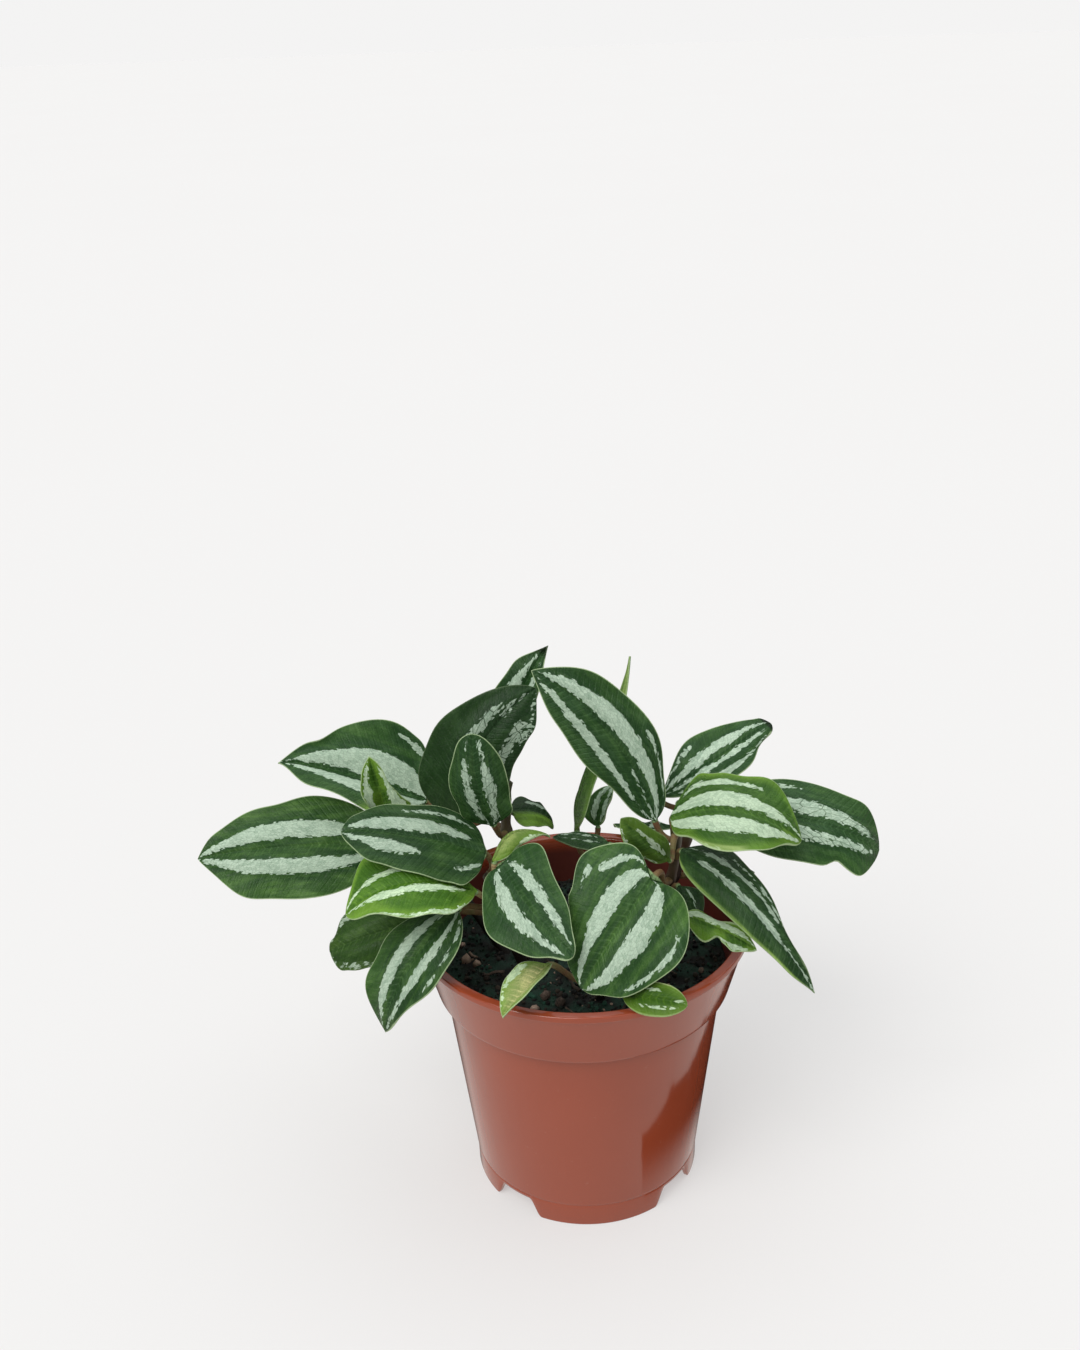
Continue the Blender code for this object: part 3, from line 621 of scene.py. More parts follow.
def leaf_rings(leaf, rows, around, chance):
    """All rings of a leaf; s, t and the height above of the blade's points; the stalk's shares.

    On the stalk a ring is a circle. On the blade t is the cosine of the ring's angle, and the
    sine, named above, says whether the point lies over or under the middle surface, by a height
    that is nearly even and rounds off at the edge.
    """
    theta = np.linspace(0, 2 * pi, around, endpoint=False)
    s = (1 - np.cos(np.linspace(0, pi, rows + 2)[:-1])) / 2
    s[0] = BLADE_START
    s, t = np.meshgrid(s, np.cos(theta), indexing="ij")
    above = np.sin(theta)[None, :] * np.ones_like(s)
    points, normal, side = plain_blade(leaf, s, t)

    _, first_along = bezier(midrib(leaf), BLADE_START)
    u, centres, stalk_side, stalk_up = stalk_path(leaf, side[0, 0], first_along)
    swelling = STALK_FOOT * np.exp(-u / STALK_FOOT_LENGTH)
    radius = STALK_RADIUS * (1 - STALK_WAIST * np.sin(pi * u) + swelling)
    stalk = rings_round(centres, stalk_side, stalk_up, radius, around)

    squareness = 1 - 0.5 * (1 - np.exp(-s / 0.06))
    half = HALF_THICKNESS + (STALK_RADIUS - HALF_THICKNESS) * np.exp(-s / STALK_FADE)
    height = np.sign(above) * np.abs(above) ** squareness * half
    rib = RIB_HEIGHT * np.exp(-((t / RIB_WIDTH) ** 2)) * (1 - s) ** 1.5 * (above < -0.2)
    height -= rib * (1 - np.exp(-s / STALK_FADE))
    points = points + normal * (height + relief(leaf, s, t, chance))[..., None]
    return np.concatenate([stalk, points]), s, t, above, u


print("thickness of a leaf in millimetres:", 2 * HALF_THICKNESS)

# %% [markdown]
# The silver bands are places where air lies under the leaf's skin. They run from base to tip
# between the veins, at the same share of the half width all the way, so t describes them best: a
# band has a middle, a half width, and the shares of the length where it starts and ends. The
# table gives each leaf's bands, and where it differs from most: its age (young ones are a brighter
# green, and above 1 a pale one), how ragged its bands are, a shade that its colours are multiplied
# by, how faint its bands are when below 1, to which end they lean, the share of its tip that has
# dried, and its hems. A hem is a margin of another green: its side, start, end, width as a share of
# the half width, and paleness.

# %% Markings of each leaf
PAIR = [(-0.36, 0.16, 0, 1), (0.36, 0.16, 0, 1)]
OUTER_LEFT = (0.8, 0.06, 0.05, 0.5)
OUTER_RIGHT = (-0.8, 0.06, 0.05, 0.5)
MARKINGS = {
    "far_left": dict(bands=[(-0.33, 0.17, 0, 1), (0.38, 0.15, 0, 1)], age=0.1, lean=-0.2),
    "upper_left": dict(bands=[(-0.26, 0.2, 0, 1), (0.36, 0.17, 0, 0.97), (-0.84, 0.05, 0.05, 0.3)],
        shade=1.15, hems=[(1, 0, 0.45, 0.22, 0.1)]),
    "folded_young": dict(bands=[(-0.62, 0.24, 0, 0.9), (0.6, 0.22, 0, 0.95)], age=0.5),
    "dark_upright": dict(bands=[(0.3, 0.13, 0.3, 0.8), (0.1, 0.06, 0.74, 0.95), (-0.6, 0.12, 0.4, 0.8),
        (-0.84, 0.07, 0.66, 1)], age=-0.04, ragged=1.9, shade=0.66, lean=-0.1),
    "oval_upright": dict(bands=[(-0.34, 0.15, 0.02, 0.94), (0.33, 0.15, 0.02, 0.94)], ragged=1.4),
    "behind_oval": dict(bands=[(0.4, 0.16, 0.2, 0.9)], shade=0.7, faint=0.9, hems=[(-1, 0, 1, 0.95, 0)]),
    "mid_left": dict(bands=[(-0.28, 0.17, 0.1, 1), (-0.74, 0.05, 0.05, 0.6), (0.44, 0.15, 0.45, 1),
        (0.62, 0.05, 0.03, 0.2)], ragged=1.2, shade=0.9, lean=-0.2),
    "bright_left": dict(bands=[(-0.42, 0.13, 0.1, 0.97), (0.24, 0.12, 0.08, 1), (0.94, 0.05, 0.1, 0.9)],
        age=0.6, ragged=1.2, shade=1.2),
    "low_left": dict(bands=[(-0.8, 0.08, 0.3, 0.95), (0.86, 0.06, 0.5, 1)], age=0.3, ragged=2.2, shade=0.62),
    "drooping_left": dict(bands=[(-0.36, 0.15, 0, 1), (0.34, 0.11, 0, 1), (0.74, 0.03, 0.05, 0.6)], age=0.08,
        lean=0.1),
    "front_left": dict(bands=[(-0.4, 0.17, 0.03, 0.95), (0.4, 0.14, 0.03, 1)], ragged=1.2, lean=0.2),
    "edge_on": dict(bands=[(-0.85, 0.15, 0.4, 1)], age=1.15, faint=0.9, hems=[(1, 0.2, 1, 0.5, 0.6)]),
    "front_round": dict(bands=[(-0.35, 0.15, 0, 1), (0.37, 0.15, 0, 1), (-0.74, 0.055, 0.02, 0.3),
        (-0.85, 0.03, 0.36, 0.5), (0.86, 0.03, 0.25, 0.75)], age=0.12, lean=0.15),
    "young_right": dict(bands=[(-0.1, 0.14, 0.1, 0.8), (0.86, 0.12, 0.1, 0.9)], age=0.5, shade=0.55,
        faint=0.85, hems=[(1, 0, 1, 0.08, 0.3), (-1, 0, 1, 0.06, 0.2)]),
    "long_right": dict(bands=[(-0.04, 0.14, 0.08, 1), (0.5, 0.1, 0.03, 0.62), (0.8, 0.03, 0.2, 0.7)],
        shade=0.82, lean=0.1, hems=[(-1, 0, 0.92, 0.15, 0.2)]),
    "bright_right": dict(bands=[(-0.42, 0.17, 0, 1), (0.22, 0.17, 0, 1), (0.72, 0.07, 0.05, 0.7),
        (-0.97, 0.05, 0, 0.4)], age=0.42, lean=0.2, hems=[(1, 0, 0.7, 0.06, 0), (-1, 0, 0.6, 0.14, 0.5)]),
    "far_right": dict(bands=[(-0.34, 0.15, 0, 0.95), (0.3, 0.16, 0, 0.96), (0.78, 0.05, 0.1, 0.45)],
        ragged=1.4, shade=1.1, lean=0.1),
    "upper_right": dict(bands=[(-0.16, 0.12, 0, 1), (0.4, 0.16, 0, 1), (-0.62, 0.1, 0.1, 0.9),
        (0.85, 0.05, 0, 0.4)], shade=1.15, dry=0.03),
    "tall": dict(bands=[(-0.32, 0.2, 0, 1), (0.48, 0.11, 0, 1), (-0.78, 0.04, 0.02, 0.4),
        (0.08, 0.05, 0, 0.3)], shade=0.96, lean=-0.3),
    "top": dict(bands=[(-0.4, 0.22, 0, 0.9), (0.4, 0.22, 0, 0.9)], dry=0.05),
    "profile": dict(bands=[], age=0.4, shade=0.85, hems=[(1, 0.72, 1, 1, 0.35), (-1, 0.72, 1, 1, 0.35)]),
    # painted light: a shade above 1 brightens this leaf, which the suns don't reach
    "back_small": dict(bands=[(0.3, 0.2, 0.1, 0.97), (-0.5, 0.2, 0.1, 0.97)], age=0.2, shade=1.5),
    "back_flat": dict(bands=[(-0.5, 0.12, 0.1, 0.9), (0.2, 0.1, 0.1, 0.9)], shade=0.8, faint=0.6),
    "wavy_right": dict(bands=[(0.4, 0.3, 0, 0.95), (-0.8, 0.12, 0.5, 1)], age=0.5),
    "pale_front": dict(bands=[(-0.8, 0.12, 0.2, 1)], age=1.35, hems=[(1, 0, 1, 0.3, 0.7)]),
    # painted highlight: the short band near the midrib at this leaf's tip stands for a highlight
    "young_front": dict(bands=[(0.5, 0.08, 0.2, 0.6), (-0.5, 0.08, 0.3, 0.9), (0.1, 0.1, 0.8, 1)], age=0.7,
        shade=0.7, hems=[(1, 0, 1, 0.1, 0.9), (-1, 0, 1, 0.1, 0.6)]),
    # partly painted shade: a shade of 0.7 darkens this leaf, which hangs in the dark below the cluster
    "dark_right": dict(bands=[(-0.36, 0.08, 0.1, 0.8), (0.36, 0.08, 0.1, 0.8)], shade=0.7),
    "rear_left_upper": dict(bands=[*PAIR, OUTER_LEFT], shade=0.95),
    "rear_left_mid": dict(bands=[*PAIR, OUTER_RIGHT]),
    "rear_left_low": dict(bands=PAIR, age=0.15),
    "rear_right_upper": dict(bands=[*PAIR, OUTER_RIGHT], ragged=1.3),
    "rear_right_mid": dict(bands=PAIR, shade=0.9),
    "rear_right_low": dict(bands=[*PAIR, OUTER_LEFT], age=0.1),
    "rear_centre": dict(bands=PAIR),
}
PLAIN_MARKINGS = dict(age=0, ragged=1, shade=1, faint=1, lean=0.3, dry=0, hems=())
OFF = -9.0  # a depth far outside any band
print("bands of silver:", sum(len(look["bands"]) for look in MARKINGS.values()))


def silver_depth(leaf, bands, lean, s, t):
    """How many millimetres a point lies inside the nearest band; less than nought is outside.

    For one band it is the least of the distances to its two sides and its two ends. The band is
    widest near its start where lean is above nought, and near its end where it is below.
    """
    w = half_width(leaf, s)
    length = np.linalg.norm(np.subtract(leaf["tip"], leaf["base"]))
    depth = np.full(s.shape, OFF)
    for middle, half, start, end in bands:
        share = np.clip((s - start) / (end - start), 0, 1)
        swelling = (1 + lean * (1 - 2 * share)) * np.clip(np.sin(pi * share), 0.02, 1) ** 0.25
        across = (half * swelling - np.abs(t - middle)) * w
        lengthwise = np.minimum(s - start, end - s) * length
        depth = np.maximum(depth, np.minimum(across, lengthwise))
    return depth


def hem_strength(hems, s, t):
    """How strongly each point is coloured by a hem, and how pale that hem is.

    A hem grows from nothing at its inner side to full within a third of its width, and fades over
    a little of the length at its start and end.
    """
    strength = np.zeros(s.shape)
    tone = np.zeros(s.shape)
    for side, start, end, width, paleness in hems:
        outward = np.clip((t * side - (1 - width)) / (0.3 * width), 0, 1)
        lengthwise = np.clip(np.minimum(s - start + 0.04, end - s + 0.04) / 0.08, 0, 1)
        tone = np.where(outward * lengthwise > strength, paleness, tone)
        strength = np.maximum(strength, outward * lengthwise)
    return strength, tone


# %% [markdown]
# One finish serves every leaf, because what differs between leaves is stored on their points. The
# silver's edge is torn by small cells that slant away from the midrib, which gives the small teeth
# of the real bands. The green is mottled with lighter specks, whose greyish tint is partly painted
# sheen, and crossed by fine side veins; the margin is a thin pale line, the underside is a matt
# pale green, and the stalk is flushed with red. A waxy skin has a soft gloss, which wanders a
# little over the blade.

# %% The leaf finish
MATURE_GREEN = (0.014, 0.045, 0.012)
FRESH_GREEN = (0.04, 0.105, 0.018)
YOUNG_GREEN = (0.045, 0.13, 0.006)
LIME = (0.14, 0.27, 0.03)
PALE_HEM = (0.42, 0.5, 0.22)
PALEST_GREEN = (0.30, 0.37, 0.13)
SILVER = (0.44, 0.555, 0.43)
YOUNG_SILVER = (0.6, 0.76, 0.49)
MARGIN = (0.42, 0.54, 0.3)
UNDERSIDE = (0.17, 0.27, 0.11)
UNDERSIDE_LIGHT = (0.23, 0.34, 0.16)
STALK_RED = (0.34, 0.17, 0.1)
STALK_GREEN = (0.3, 0.3, 0.13)
# partly painted sheen: the lighter specks of the green are tinted grey like a soft sheen
MOTTLE_AND_SHEEN = (3.0, 2.2, 3.2)  # how much lighter the lit specks of the green are
TARNISH = (0.62, 0.68, 0.64)  # and how much duller the dull ones of the silver are
HARDENED = (0.5, 0.45, 0.4)  # old stalks are darker than young ones


def make_leaf_finish():
    """Reads "markings" (silver depth, distance from edge, raggedness), "growth" (age, shade, and
    side: 0 above, 1 below, 2 on the stalk), "trim" (hem and its paleness) and UVs in millimetres."""
    f = Finish("striped_leaf", specular=0.14)
    silver, edge, ragged = f.attribute("markings")
    age, shade, side = f.attribute("growth")
    hem, hem_tone, _ = f.attribute("trim")
    place = f.node("UVMap", {"uv_map": "surface"})
    on_stalk = f.rise(side, 1.2, 1.8)
    below = f.rise(side, 0.45, 0.55)

    u, v, _ = f.parts(place)
    herring = f.node("CombineXYZ", inputs={"X": u - abs(v) * 0.7, "Y": v})
    cell_place = f.stretched(herring, (0.75, 1.5, 1.0))
    cell_tone, cell_step, _ = f.parts(f.cells(cell_place))
    gap = f.cells(cell_place, "DISTANCE_TO_EDGE", "Distance")
    crack = f.cells(f.stretched(herring, (0.2, 0.42, 1.0)), "DISTANCE_TO_EDGE", "Distance")
    sway = f.noise(place, (0.13, 0.1, 1.0))
    cloud = f.noise(place, (0.11, 0.24, 1.0), 3.0, 0.6)
    grains = f.noise(place, (2.4, 2.4, 1.0), 3.0, 0.65)
    streaks = f.noise(place, (0.06, 0.5, 1.0), 3.0, 0.6)
    feather = f.noise(herring, (0.9, 0.14, 1.0), 3.0, 0.65)

    torn = silver + ((cell_step - 0.5) * 0.8 + (sway - 0.5) * 2.2 + (grains - 0.5) * 0.5) * ragged
    band = f.rise(torn, -0.08, 0.1)
    holes = f.rise(cell_tone + (1 - f.rise(torn, 0.0, 1.6)) * 0.25, 1.02, 1.1)
    band = band * (1 - holes * f.rise(ragged, 0.8, 1.6))

    veins = f.node("TexWave", {"bands_direction": "X"}, {
        "Vector": herring, "Scale": 0.13, "Distortion": 3.0, "Detail": 2.0, "Detail Scale": 0.6,
    }, output="Fac")
    vein = f.rise(veins, 0.72, 1.0)

    away = 1 - f.rise(silver, -5.5, -0.6)
    fresh = (f.rise(streaks * 0.8 + cloud * 0.2, 0.42, 0.62) * 0.5 + away * 0.5) * f.rise(age, -0.12, 0.12)
    mature = f.blend(fresh.least(1.0), MATURE_GREEN, FRESH_GREEN)
    green = f.blend(f.rise(age, 0.0, 1.0), mature, YOUNG_GREEN)
    green = f.blend(f.rise(age, 0.95, 1.5), green, PALEST_GREEN)
    along_rib = 1 - f.rise(abs(v), 0.3, 2.6)
    # mottling, partly painted sheen: lighter greyish specks spread at random over the green
    lit = f.rise(cloud * 0.7 + grains * 0.3, 0.42, 0.66) * 0.5 + vein * (0.08 + along_rib * 0.35)
    lit = lit + (grains - 0.45) * 0.5 + (feather - 0.48) * 0.9
    green = f.blend(lit.least(1.0).most(0.0), green, f.tinted(green, MOTTLE_AND_SHEEN))
    lime = (1 - f.rise(edge, 0.4, 4.5)) * f.rise(age, 0.15, 0.6) * (0.35 + cloud * 0.9)
    green = f.blend(lime.least(1.0), green, LIME)
    green = f.tinted(green, f.grey(shade))

    pale = f.blend(f.rise(age, 0.1, 0.9), SILVER, YOUNG_SILVER)
    pale = f.tinted(pale, f.grey(shade * 0.6 + 0.4))
    clean = f.rise(cell_tone * 0.3 + cloud * 0.4 + grains * 0.2 + feather * 0.4, 0.38, 0.78)
    pale = f.blend(clean, f.tinted(pale, TARNISH), pale)
    pale = f.blend((1 - f.rise(gap, 0.0, 0.09)) * 0.45, pale, green)
    cracked = (1 - f.rise(crack, 0.01, 0.06)) * f.rise(ragged, 1.15, 1.5)
    pale = f.blend(cracked * 0.9, pale, green)
    upper = f.blend(band, green, pale)
    hem_colour = f.blend(hem_tone, LIME, PALE_HEM)
    upper = f.blend(hem * (0.55 + f.rise(streaks, 0.4, 0.65) * 0.4), upper, hem_colour)
    margin = (1 - f.rise(edge, 0.18, 0.42)) * (0.15 + f.rise(shade, 0.75, 0.95) * 0.6)
    upper = f.blend(margin, upper, MARGIN)
    under = f.blend(f.rise(cloud, 0.3, 0.75), UNDERSIDE, UNDERSIDE_LIGHT)
    stalk = f.blend(f.rise(cloud, 0.3, 0.7), STALK_GREEN, STALK_RED)
    stalk = f.blend(1 - f.rise(age, 0.1, 0.9), stalk, HARDENED, "MULTIPLY")
    colour = f.blend(below, upper, under)
    colour = f.blend(on_stalk, colour, stalk)

    gloss = 0.26 + (cloud - 0.5) * 0.3 + band * 0.08 + below * 0.15
    height = grains * 0.5 + cloud * 1.6 + feather * 0.9 - vein * 0.5 * (1 - band)
    height = height + f.rise(gap, 0.0, 0.12) * 0.3
    height = height + f.rise(abs(v), 0.0, 0.9) * 1.6
    return f.skin(colour, gloss, height, 0.00018)


LEAF_FINISH = make_leaf_finish()

# %% [markdown]
# Each leaf gets rows in step with its length and points round it in step with its width. Its own
# seeded chance decides its ripples, so no two edges are alike and every run gives the same plant.

# %% Grow the leaves
UV_STRIDE = 97.0  # keeps the noise of one leaf away from the next
STALK_UV = 30.0  # millimetres of noise along a stalk


def grow_leaf(name, index):
    """A leaf's mesh, with its markings stored on its points."""
    leaf = {**LEAVES[name], "bulges": BULGES.get(name, ())}
    look = {**PLAIN_MARKINGS, **MARKINGS[name]}
    length = np.linalg.norm(np.subtract(leaf["tip"], leaf["base"]))
    rows = int(20 + 0.75 * length)
    around = 2 * int(14 + 0.85 * leaf["width"])
    rings, s, t, above, u = leaf_rings(leaf, rows, around, np.random.default_rng(100 + index))
    w = half_width(leaf, s)

    dried = np.clip((s - 1 + 2 * look["dry"]) / (look["dry"] + 1e-6), 0, 1)
    silver = silver_depth(leaf, look["bands"], look["lean"], s, t)
    silver = np.where(above > -0.05, silver - (1 - look["faint"]) * leaf["width"] / 16, OFF)
    edge = (1 - np.abs(t)) * w * (1 + 3 * bulge(leaf, s, t)).clip(0.2)
    blank = np.zeros((STALK_RINGS, around))
    middles = rings[[0, -2, -1]].mean(axis=1)
    ends = np.array([middles[0], 2 * middles[2] - middles[1]])

    def flat(on_stalk, on_blade, at_tip=0.0):
        """One number a point: on the stalk's rings and first end, on the blade, and at the tip."""
        grid = np.concatenate([blank + on_stalk, np.broadcast_to(on_blade, s.shape)])
        return np.concatenate([grid.ravel(), [np.min(on_stalk), at_tip]])

    age, shade = look["age"], look["shade"]
    hem, tone = hem_strength(look["hems"], s, t)
    values = {
        "markings": [flat(OFF, silver, OFF), flat(2, edge), flat(1, look["ragged"], 1)],
        "growth": [flat(age, age, age), flat(1, shade * (1 - 0.8 * dried), shade), flat(2, above < -0.05)],
        "trim": [flat(0, hem), flat(0, tone), flat(0, 0)],
    }
    values = {label: np.stack(columns, axis=-1) for label, columns in values.items()}
    u_mm = flat((u[:, None] - 1) * STALK_UV, s * length, length) + UV_STRIDE * index
    uv = np.stack([u_mm, flat(0, t * w)], axis=-1)
    piece = closed_tube(name + "_leaf", rings, ends, LEAF_FINISH, values, uv)
    slot = "young_leaf" if age > 0.4 else "mature_leaf"
    return install(piece, slot, "leaf_" + name)


leaf_pieces = [grow_leaf(name, index) for index, name in enumerate(LEAVES)]
print("leaf faces:", sum(len(piece.data.polygons) for piece in leaf_pieces))

# %% [markdown]
# The stems of a young peperomia are soft, reddish brown and a little jointed: each leaf stalk
# leaves at a slight swelling. A stem is a tube along its curve, and its radius is the plain taper
# plus a small bell at every place where a stalk joins it.

# %% Stem finish
STEM_BROWN = (0.06, 0.02, 0.012)
# painted shade: near black for the stems' low part under the leaves
STEM_SHADE = (0.012, 0.008, 0.006)
STEM_GREEN = (0.05, 0.052, 0.018)
STEM_DASHES = (0.2, 0.11, 0.055)


def make_stem_finish():
    """Near black low down as painted shade near the soil, then reddish brown, then greener, with pale dashes
    along it.
    """
    f = Finish("reddish_stem", specular=0.45)
    place = f.object_place()
    _, _, height = f.parts(place)
    streaks = f.noise(place, (900.0, 900.0, 120.0), 3.0, 0.6)
    blotch = f.noise(place, 160.0)
    colour = f.blend(f.rise(height + (blotch - 0.5) * 0.04, 0.11, 0.15), STEM_BROWN, STEM_GREEN)
    colour = f.blend(f.rise(streaks, 0.6, 0.8) * 0.35, colour, STEM_DASHES)
    # painted shade: below this height the stem turns near black
    colour = f.blend(f.rise(height, 0.106, 0.128), STEM_SHADE, colour)
    return f.skin(colour, 0.38 + blotch * 0.2, streaks, 0.0002)


STEM_FINISH = make_stem_finish()

# %% Stems
STEM_AROUND = 20
STEM_ROWS = 60
STEM_DEPTH = 16.0  # how far it goes into the mix below its lowest point in the table
JOINT_SWELLING = 0.35
JOINT_LENGTH = 0.035


def make_stem(name):
    """A tube from inside the potting mix to the growing end, swollen where stalks join."""
    start_radius, end_radius, points = STEMS[name]
    share = np.linspace(0, 1, STEM_ROWS)
    centres, along = stem_curve(points, share)
    radius = start_radius + (end_radius - start_radius) * share
    for leaf in LEAVES.values():
        if leaf["stem"] == name:
            radius = radius + JOINT_SWELLING * np.exp(-(((share - leaf["at"]) / JOINT_LENGTH) ** 2))
    centres = np.concatenate([centres[:1] - along[:1] * STEM_DEPTH, centres])
    along = np.concatenate([along[:1], along])
    radius = np.concatenate([[start_radius], radius])
    side = carried_sides(along, np.array([1.0, 0.0, 0.0]))
    rings = rings_round(centres, side, np.cross(along, side), radius, STEM_AROUND)
    ends = np.array([centres[0], centres[-1] + along[-1] * end_radius * 0.7])
    return install(closed_tube(f"stem_{name}_skin", rings, ends, STEM_FINISH), "stem", "stem_" + name)


stem_pieces = [make_stem(name) for name in STEMS]
print("stem faces:", sum(len(piece.data.polygons) for piece in stem_pieces))

# %% [markdown]
# Potting mix is peat, bark, grit and a film of moss. One finish serves all of it. Three numbers
# stored on the mesh under "grain" say how light a crumb is, whether moss grows on it, and whether
# it is pale grit.

# %% Potting mix finish
PEAT_DARK = (0.0025, 0.0025, 0.002)
PEAT_LIGHT = (0.035, 0.024, 0.016)
MOSS = (0.012, 0.06, 0.035)
GRIT = (0.36, 0.25, 0.19)


def make_mix_finish():
    """Dark, damp peat in several tones, with patches of moss and bits of pale grit."""
    f = Finish("potting_mix", specular=0.35)
    tone, moss, pale = f.attribute("grain")
    place = f.object_place()
    fine = f.noise(place, 1500.0, 4.0, 0.65)
    patch = f.noise(place, 90.0)
    colour = f.blend(f.rise(tone + (fine - 0.5) * 0.8, 0.1, 1.0), PEAT_DARK, PEAT_LIGHT)
    colour = f.blend(moss * f.rise(patch, 0.4, 0.6), colour, MOSS)
    colour = f.blend(f.rise(pale + (fine - 0.5) * 0.3, 0.5, 0.9), colour, GRIT)
    return f.skin(colour, 0.62 + fine * 0.3, fine, 0.0006)


MIX_FINISH = make_mix_finish()

# %% [markdown]
# The body of the mix is a turned solid that fills the pot down to its floor. Its top is lumpy: a
# low crown plus waves of several lengths and headings, so that no two places are alike.

# %% The body of the mix
SOIL_TOP = 88.0
SOIL_CROWN = 2.0
SOIL_BOTTOM = 10.1
SOIL_AROUND = 180
SOIL_CLEARANCE = 0.15
SIDE_HEIGHTS = [SOIL_BOTTOM, 40.0, 80.7, 84.0]
TOP_RINGS = 60
MIX_GRAIN = [0.25, 0.5, 0.0]  # dark, half under moss, no grit
WALL_INSIDE = [(40.6, 9.8), (49.1, 80.7), (50.6, 83.1), (55.9, 103.6)]  # radius and height
LUMPS = np.random.default_rng(7).uniform((2.5, 0, 0), (14.0, 2 * pi, 2 * pi), (26, 3))


def wall_radius(height):
    """The pot's inside radius at a height, read off its straight runs."""
    radii, heights = np.array(WALL_INSIDE).T
    return np.interp(height, heights, radii)


def soil_height(x, y):
    """A low crown plus waves: each has a length, a heading and a phase, and longer ones are taller."""
    r = np.hypot(x, y)
    height = SOIL_TOP + SOIL_CROWN * (1 - np.clip(r / 50, 0, 1) ** 2)
    for length, heading, phase in LUMPS:
        steps = (x * cos(heading) + y * sin(heading)) / length
        height = height + 0.035 * length**0.7 * np.sin(2 * pi * steps + phase)
    return height


def on_soil(x, y, lift):
    """Points on the top of the mix at x and y, lifted by a little."""
    return np.stack([x, y, soil_height(x, y) + lift], axis=-1)


def make_soil():
    """Rings from the bottom up the wall, and over the top to its middle."""
    theta = np.linspace(0, 2 * pi, SOIL_AROUND, endpoint=False)
    radii = np.linspace(0.6, wall_radius(SOIL_TOP) - SOIL_CLEARANCE, TOP_RINGS)[::-1, None]
    top = on_soil(radii * np.cos(theta), radii * np.sin(theta), 0)
    walls = np.array(SIDE_HEIGHTS)[:, None]
    sides = polar(wall_radius(walls) - SOIL_CLEARANCE, theta, walls)
    rings = np.concatenate([sides, top])
    ends = np.array([[0, 0, SOIL_BOTTOM], [0, 0, top[-1, :, 2].mean()]])
    grain = np.tile(MIX_GRAIN, (len(rings) * SOIL_AROUND + 2, 1))
    body = closed_tube("mix_body", rings, ends, MIX_FINISH, {"grain": grain})
    return install(body, "potting_mix", "potting_mix")


print("faces of the mix:", len(make_soil().data.polygons))

# %% [markdown]
# On top lie crumbs and a few larger pebbles: small angular bodies of twenty faces each, every one
# turned, stretched, dented and shaded in its own way. Thousands of objects would be slow, so all
# crumbs are one mesh.

# %% A body of twenty faces
GOLDEN = (1 + 5**0.5) / 2
SIGNS = [(a, b * GOLDEN, 0) for a in (-1, 1) for b in (-1, 1)]
ICOSAHEDRON = unit(np.concatenate([np.roll(SIGNS, turn, axis=1) for turn in (0, 1, 2)]))


def icosahedron_faces():
    """The twenty triples of corners that are nearest neighbours, each wound to face outwards."""
    corners = np.array(list(combinations(range(12), 3)))
    p, q, r = ICOSAHEDRON[corners].transpose(1, 0, 2)
    longest = np.max([np.linalg.norm(side, axis=1) for side in (q - p, r - q, p - r)], axis=0)
    inward = np.sum(np.cross(q - p, r - p) * p, axis=1) < 0
    corners[inward] = corners[inward][:, [0, 2, 1]]
    return corners[longest < 1.1]


def random_turns(chance, count):
    """Rotation matrices from random directions: three axes made square to each other."""
    first = unit(chance.normal(size=(count, 3)))
    second = chance.normal(size=(count, 3))
    second = unit(second - first * np.sum(first * second, -1, keepdims=True))
    return np.stack([first, second, np.cross(first, second)], axis=-1)


def scattered(name, chance, centres, sizes, flatness, grain, material):
    """One mesh of many small angular bodies: each a turned, stretched, dented icosahedron."""
    count = len(centres)
    dents = chance.uniform(0.75, 1.2, (count, 12, 1))
    stretch = chance.uniform(flatness, 1.0, (count, 1, 3))
    bodies = ICOSAHEDRON * dents * stretch
    bodies = np.einsum("nij,nkj->nki", random_turns(chance, count), bodies)
    points = (centres[:, None] + bodies * sizes[:, None, None]).reshape(-1, 3)
    faces = (np.arange(count)[:, None, None] * 12 + icosahedron_faces()).reshape(-1, 3)
    values = {"grain": np.repeat(grain, 12, axis=0)}
    return install(mesh_object(name, points, faces.tolist(), material, values), "potting_mix")


print("faces of a crumb:", len(icosahedron_faces()))

# %% Crumbs and pebbles
CRUMB_COUNT = 2600


def make_crumbs(count):
    """Crumbs spread evenly over the top: the radius is the root of a random share."""
    chance = np.random.default_rng(11)
    sizes = 0.35 + 1.1 * chance.random(count) ** 2.2
    radius = (wall_radius(SOIL_TOP) - 1.6) * np.sqrt(chance.random(count))
    theta = chance.uniform(0, 2 * pi, count)
    centres = on_soil(radius * np.cos(theta), radius * np.sin(theta), sizes * 0.25)
    grain = np.stack([
        chance.random(count) ** 1.5, chance.random(count) < 0.4, 0.9 * (chance.random(count) < 0.035),
    ], axis=-1)
    return scattered("mix_crumbs", chance, centres, sizes, 0.55, grain.astype(float), MIX_FINISH)


PEBBLES = [
    (-42, -4, 2.6, 1), (-38, -7, 1.8, 0.95), (-13, -27, 2.4, 0.62), (-8, -31, 2.9, 0.58),
    (-17, -33, 2, 1), (-20, -40, 1.5, 0.9), (-3, -37, 1.7, 0.66), (7, -42, 1.3, 0.9),
    (-30, -30, 1.6, 0.7), (20, -46, 1.4, 1), (-26, -22, 1.5, 0.62), (-44, 6, 1.5, 0.9),
    (42, -12, 1.7, 0.7), (36, -28, 1.4, 0.9),
]  # x, y, size and paleness of each


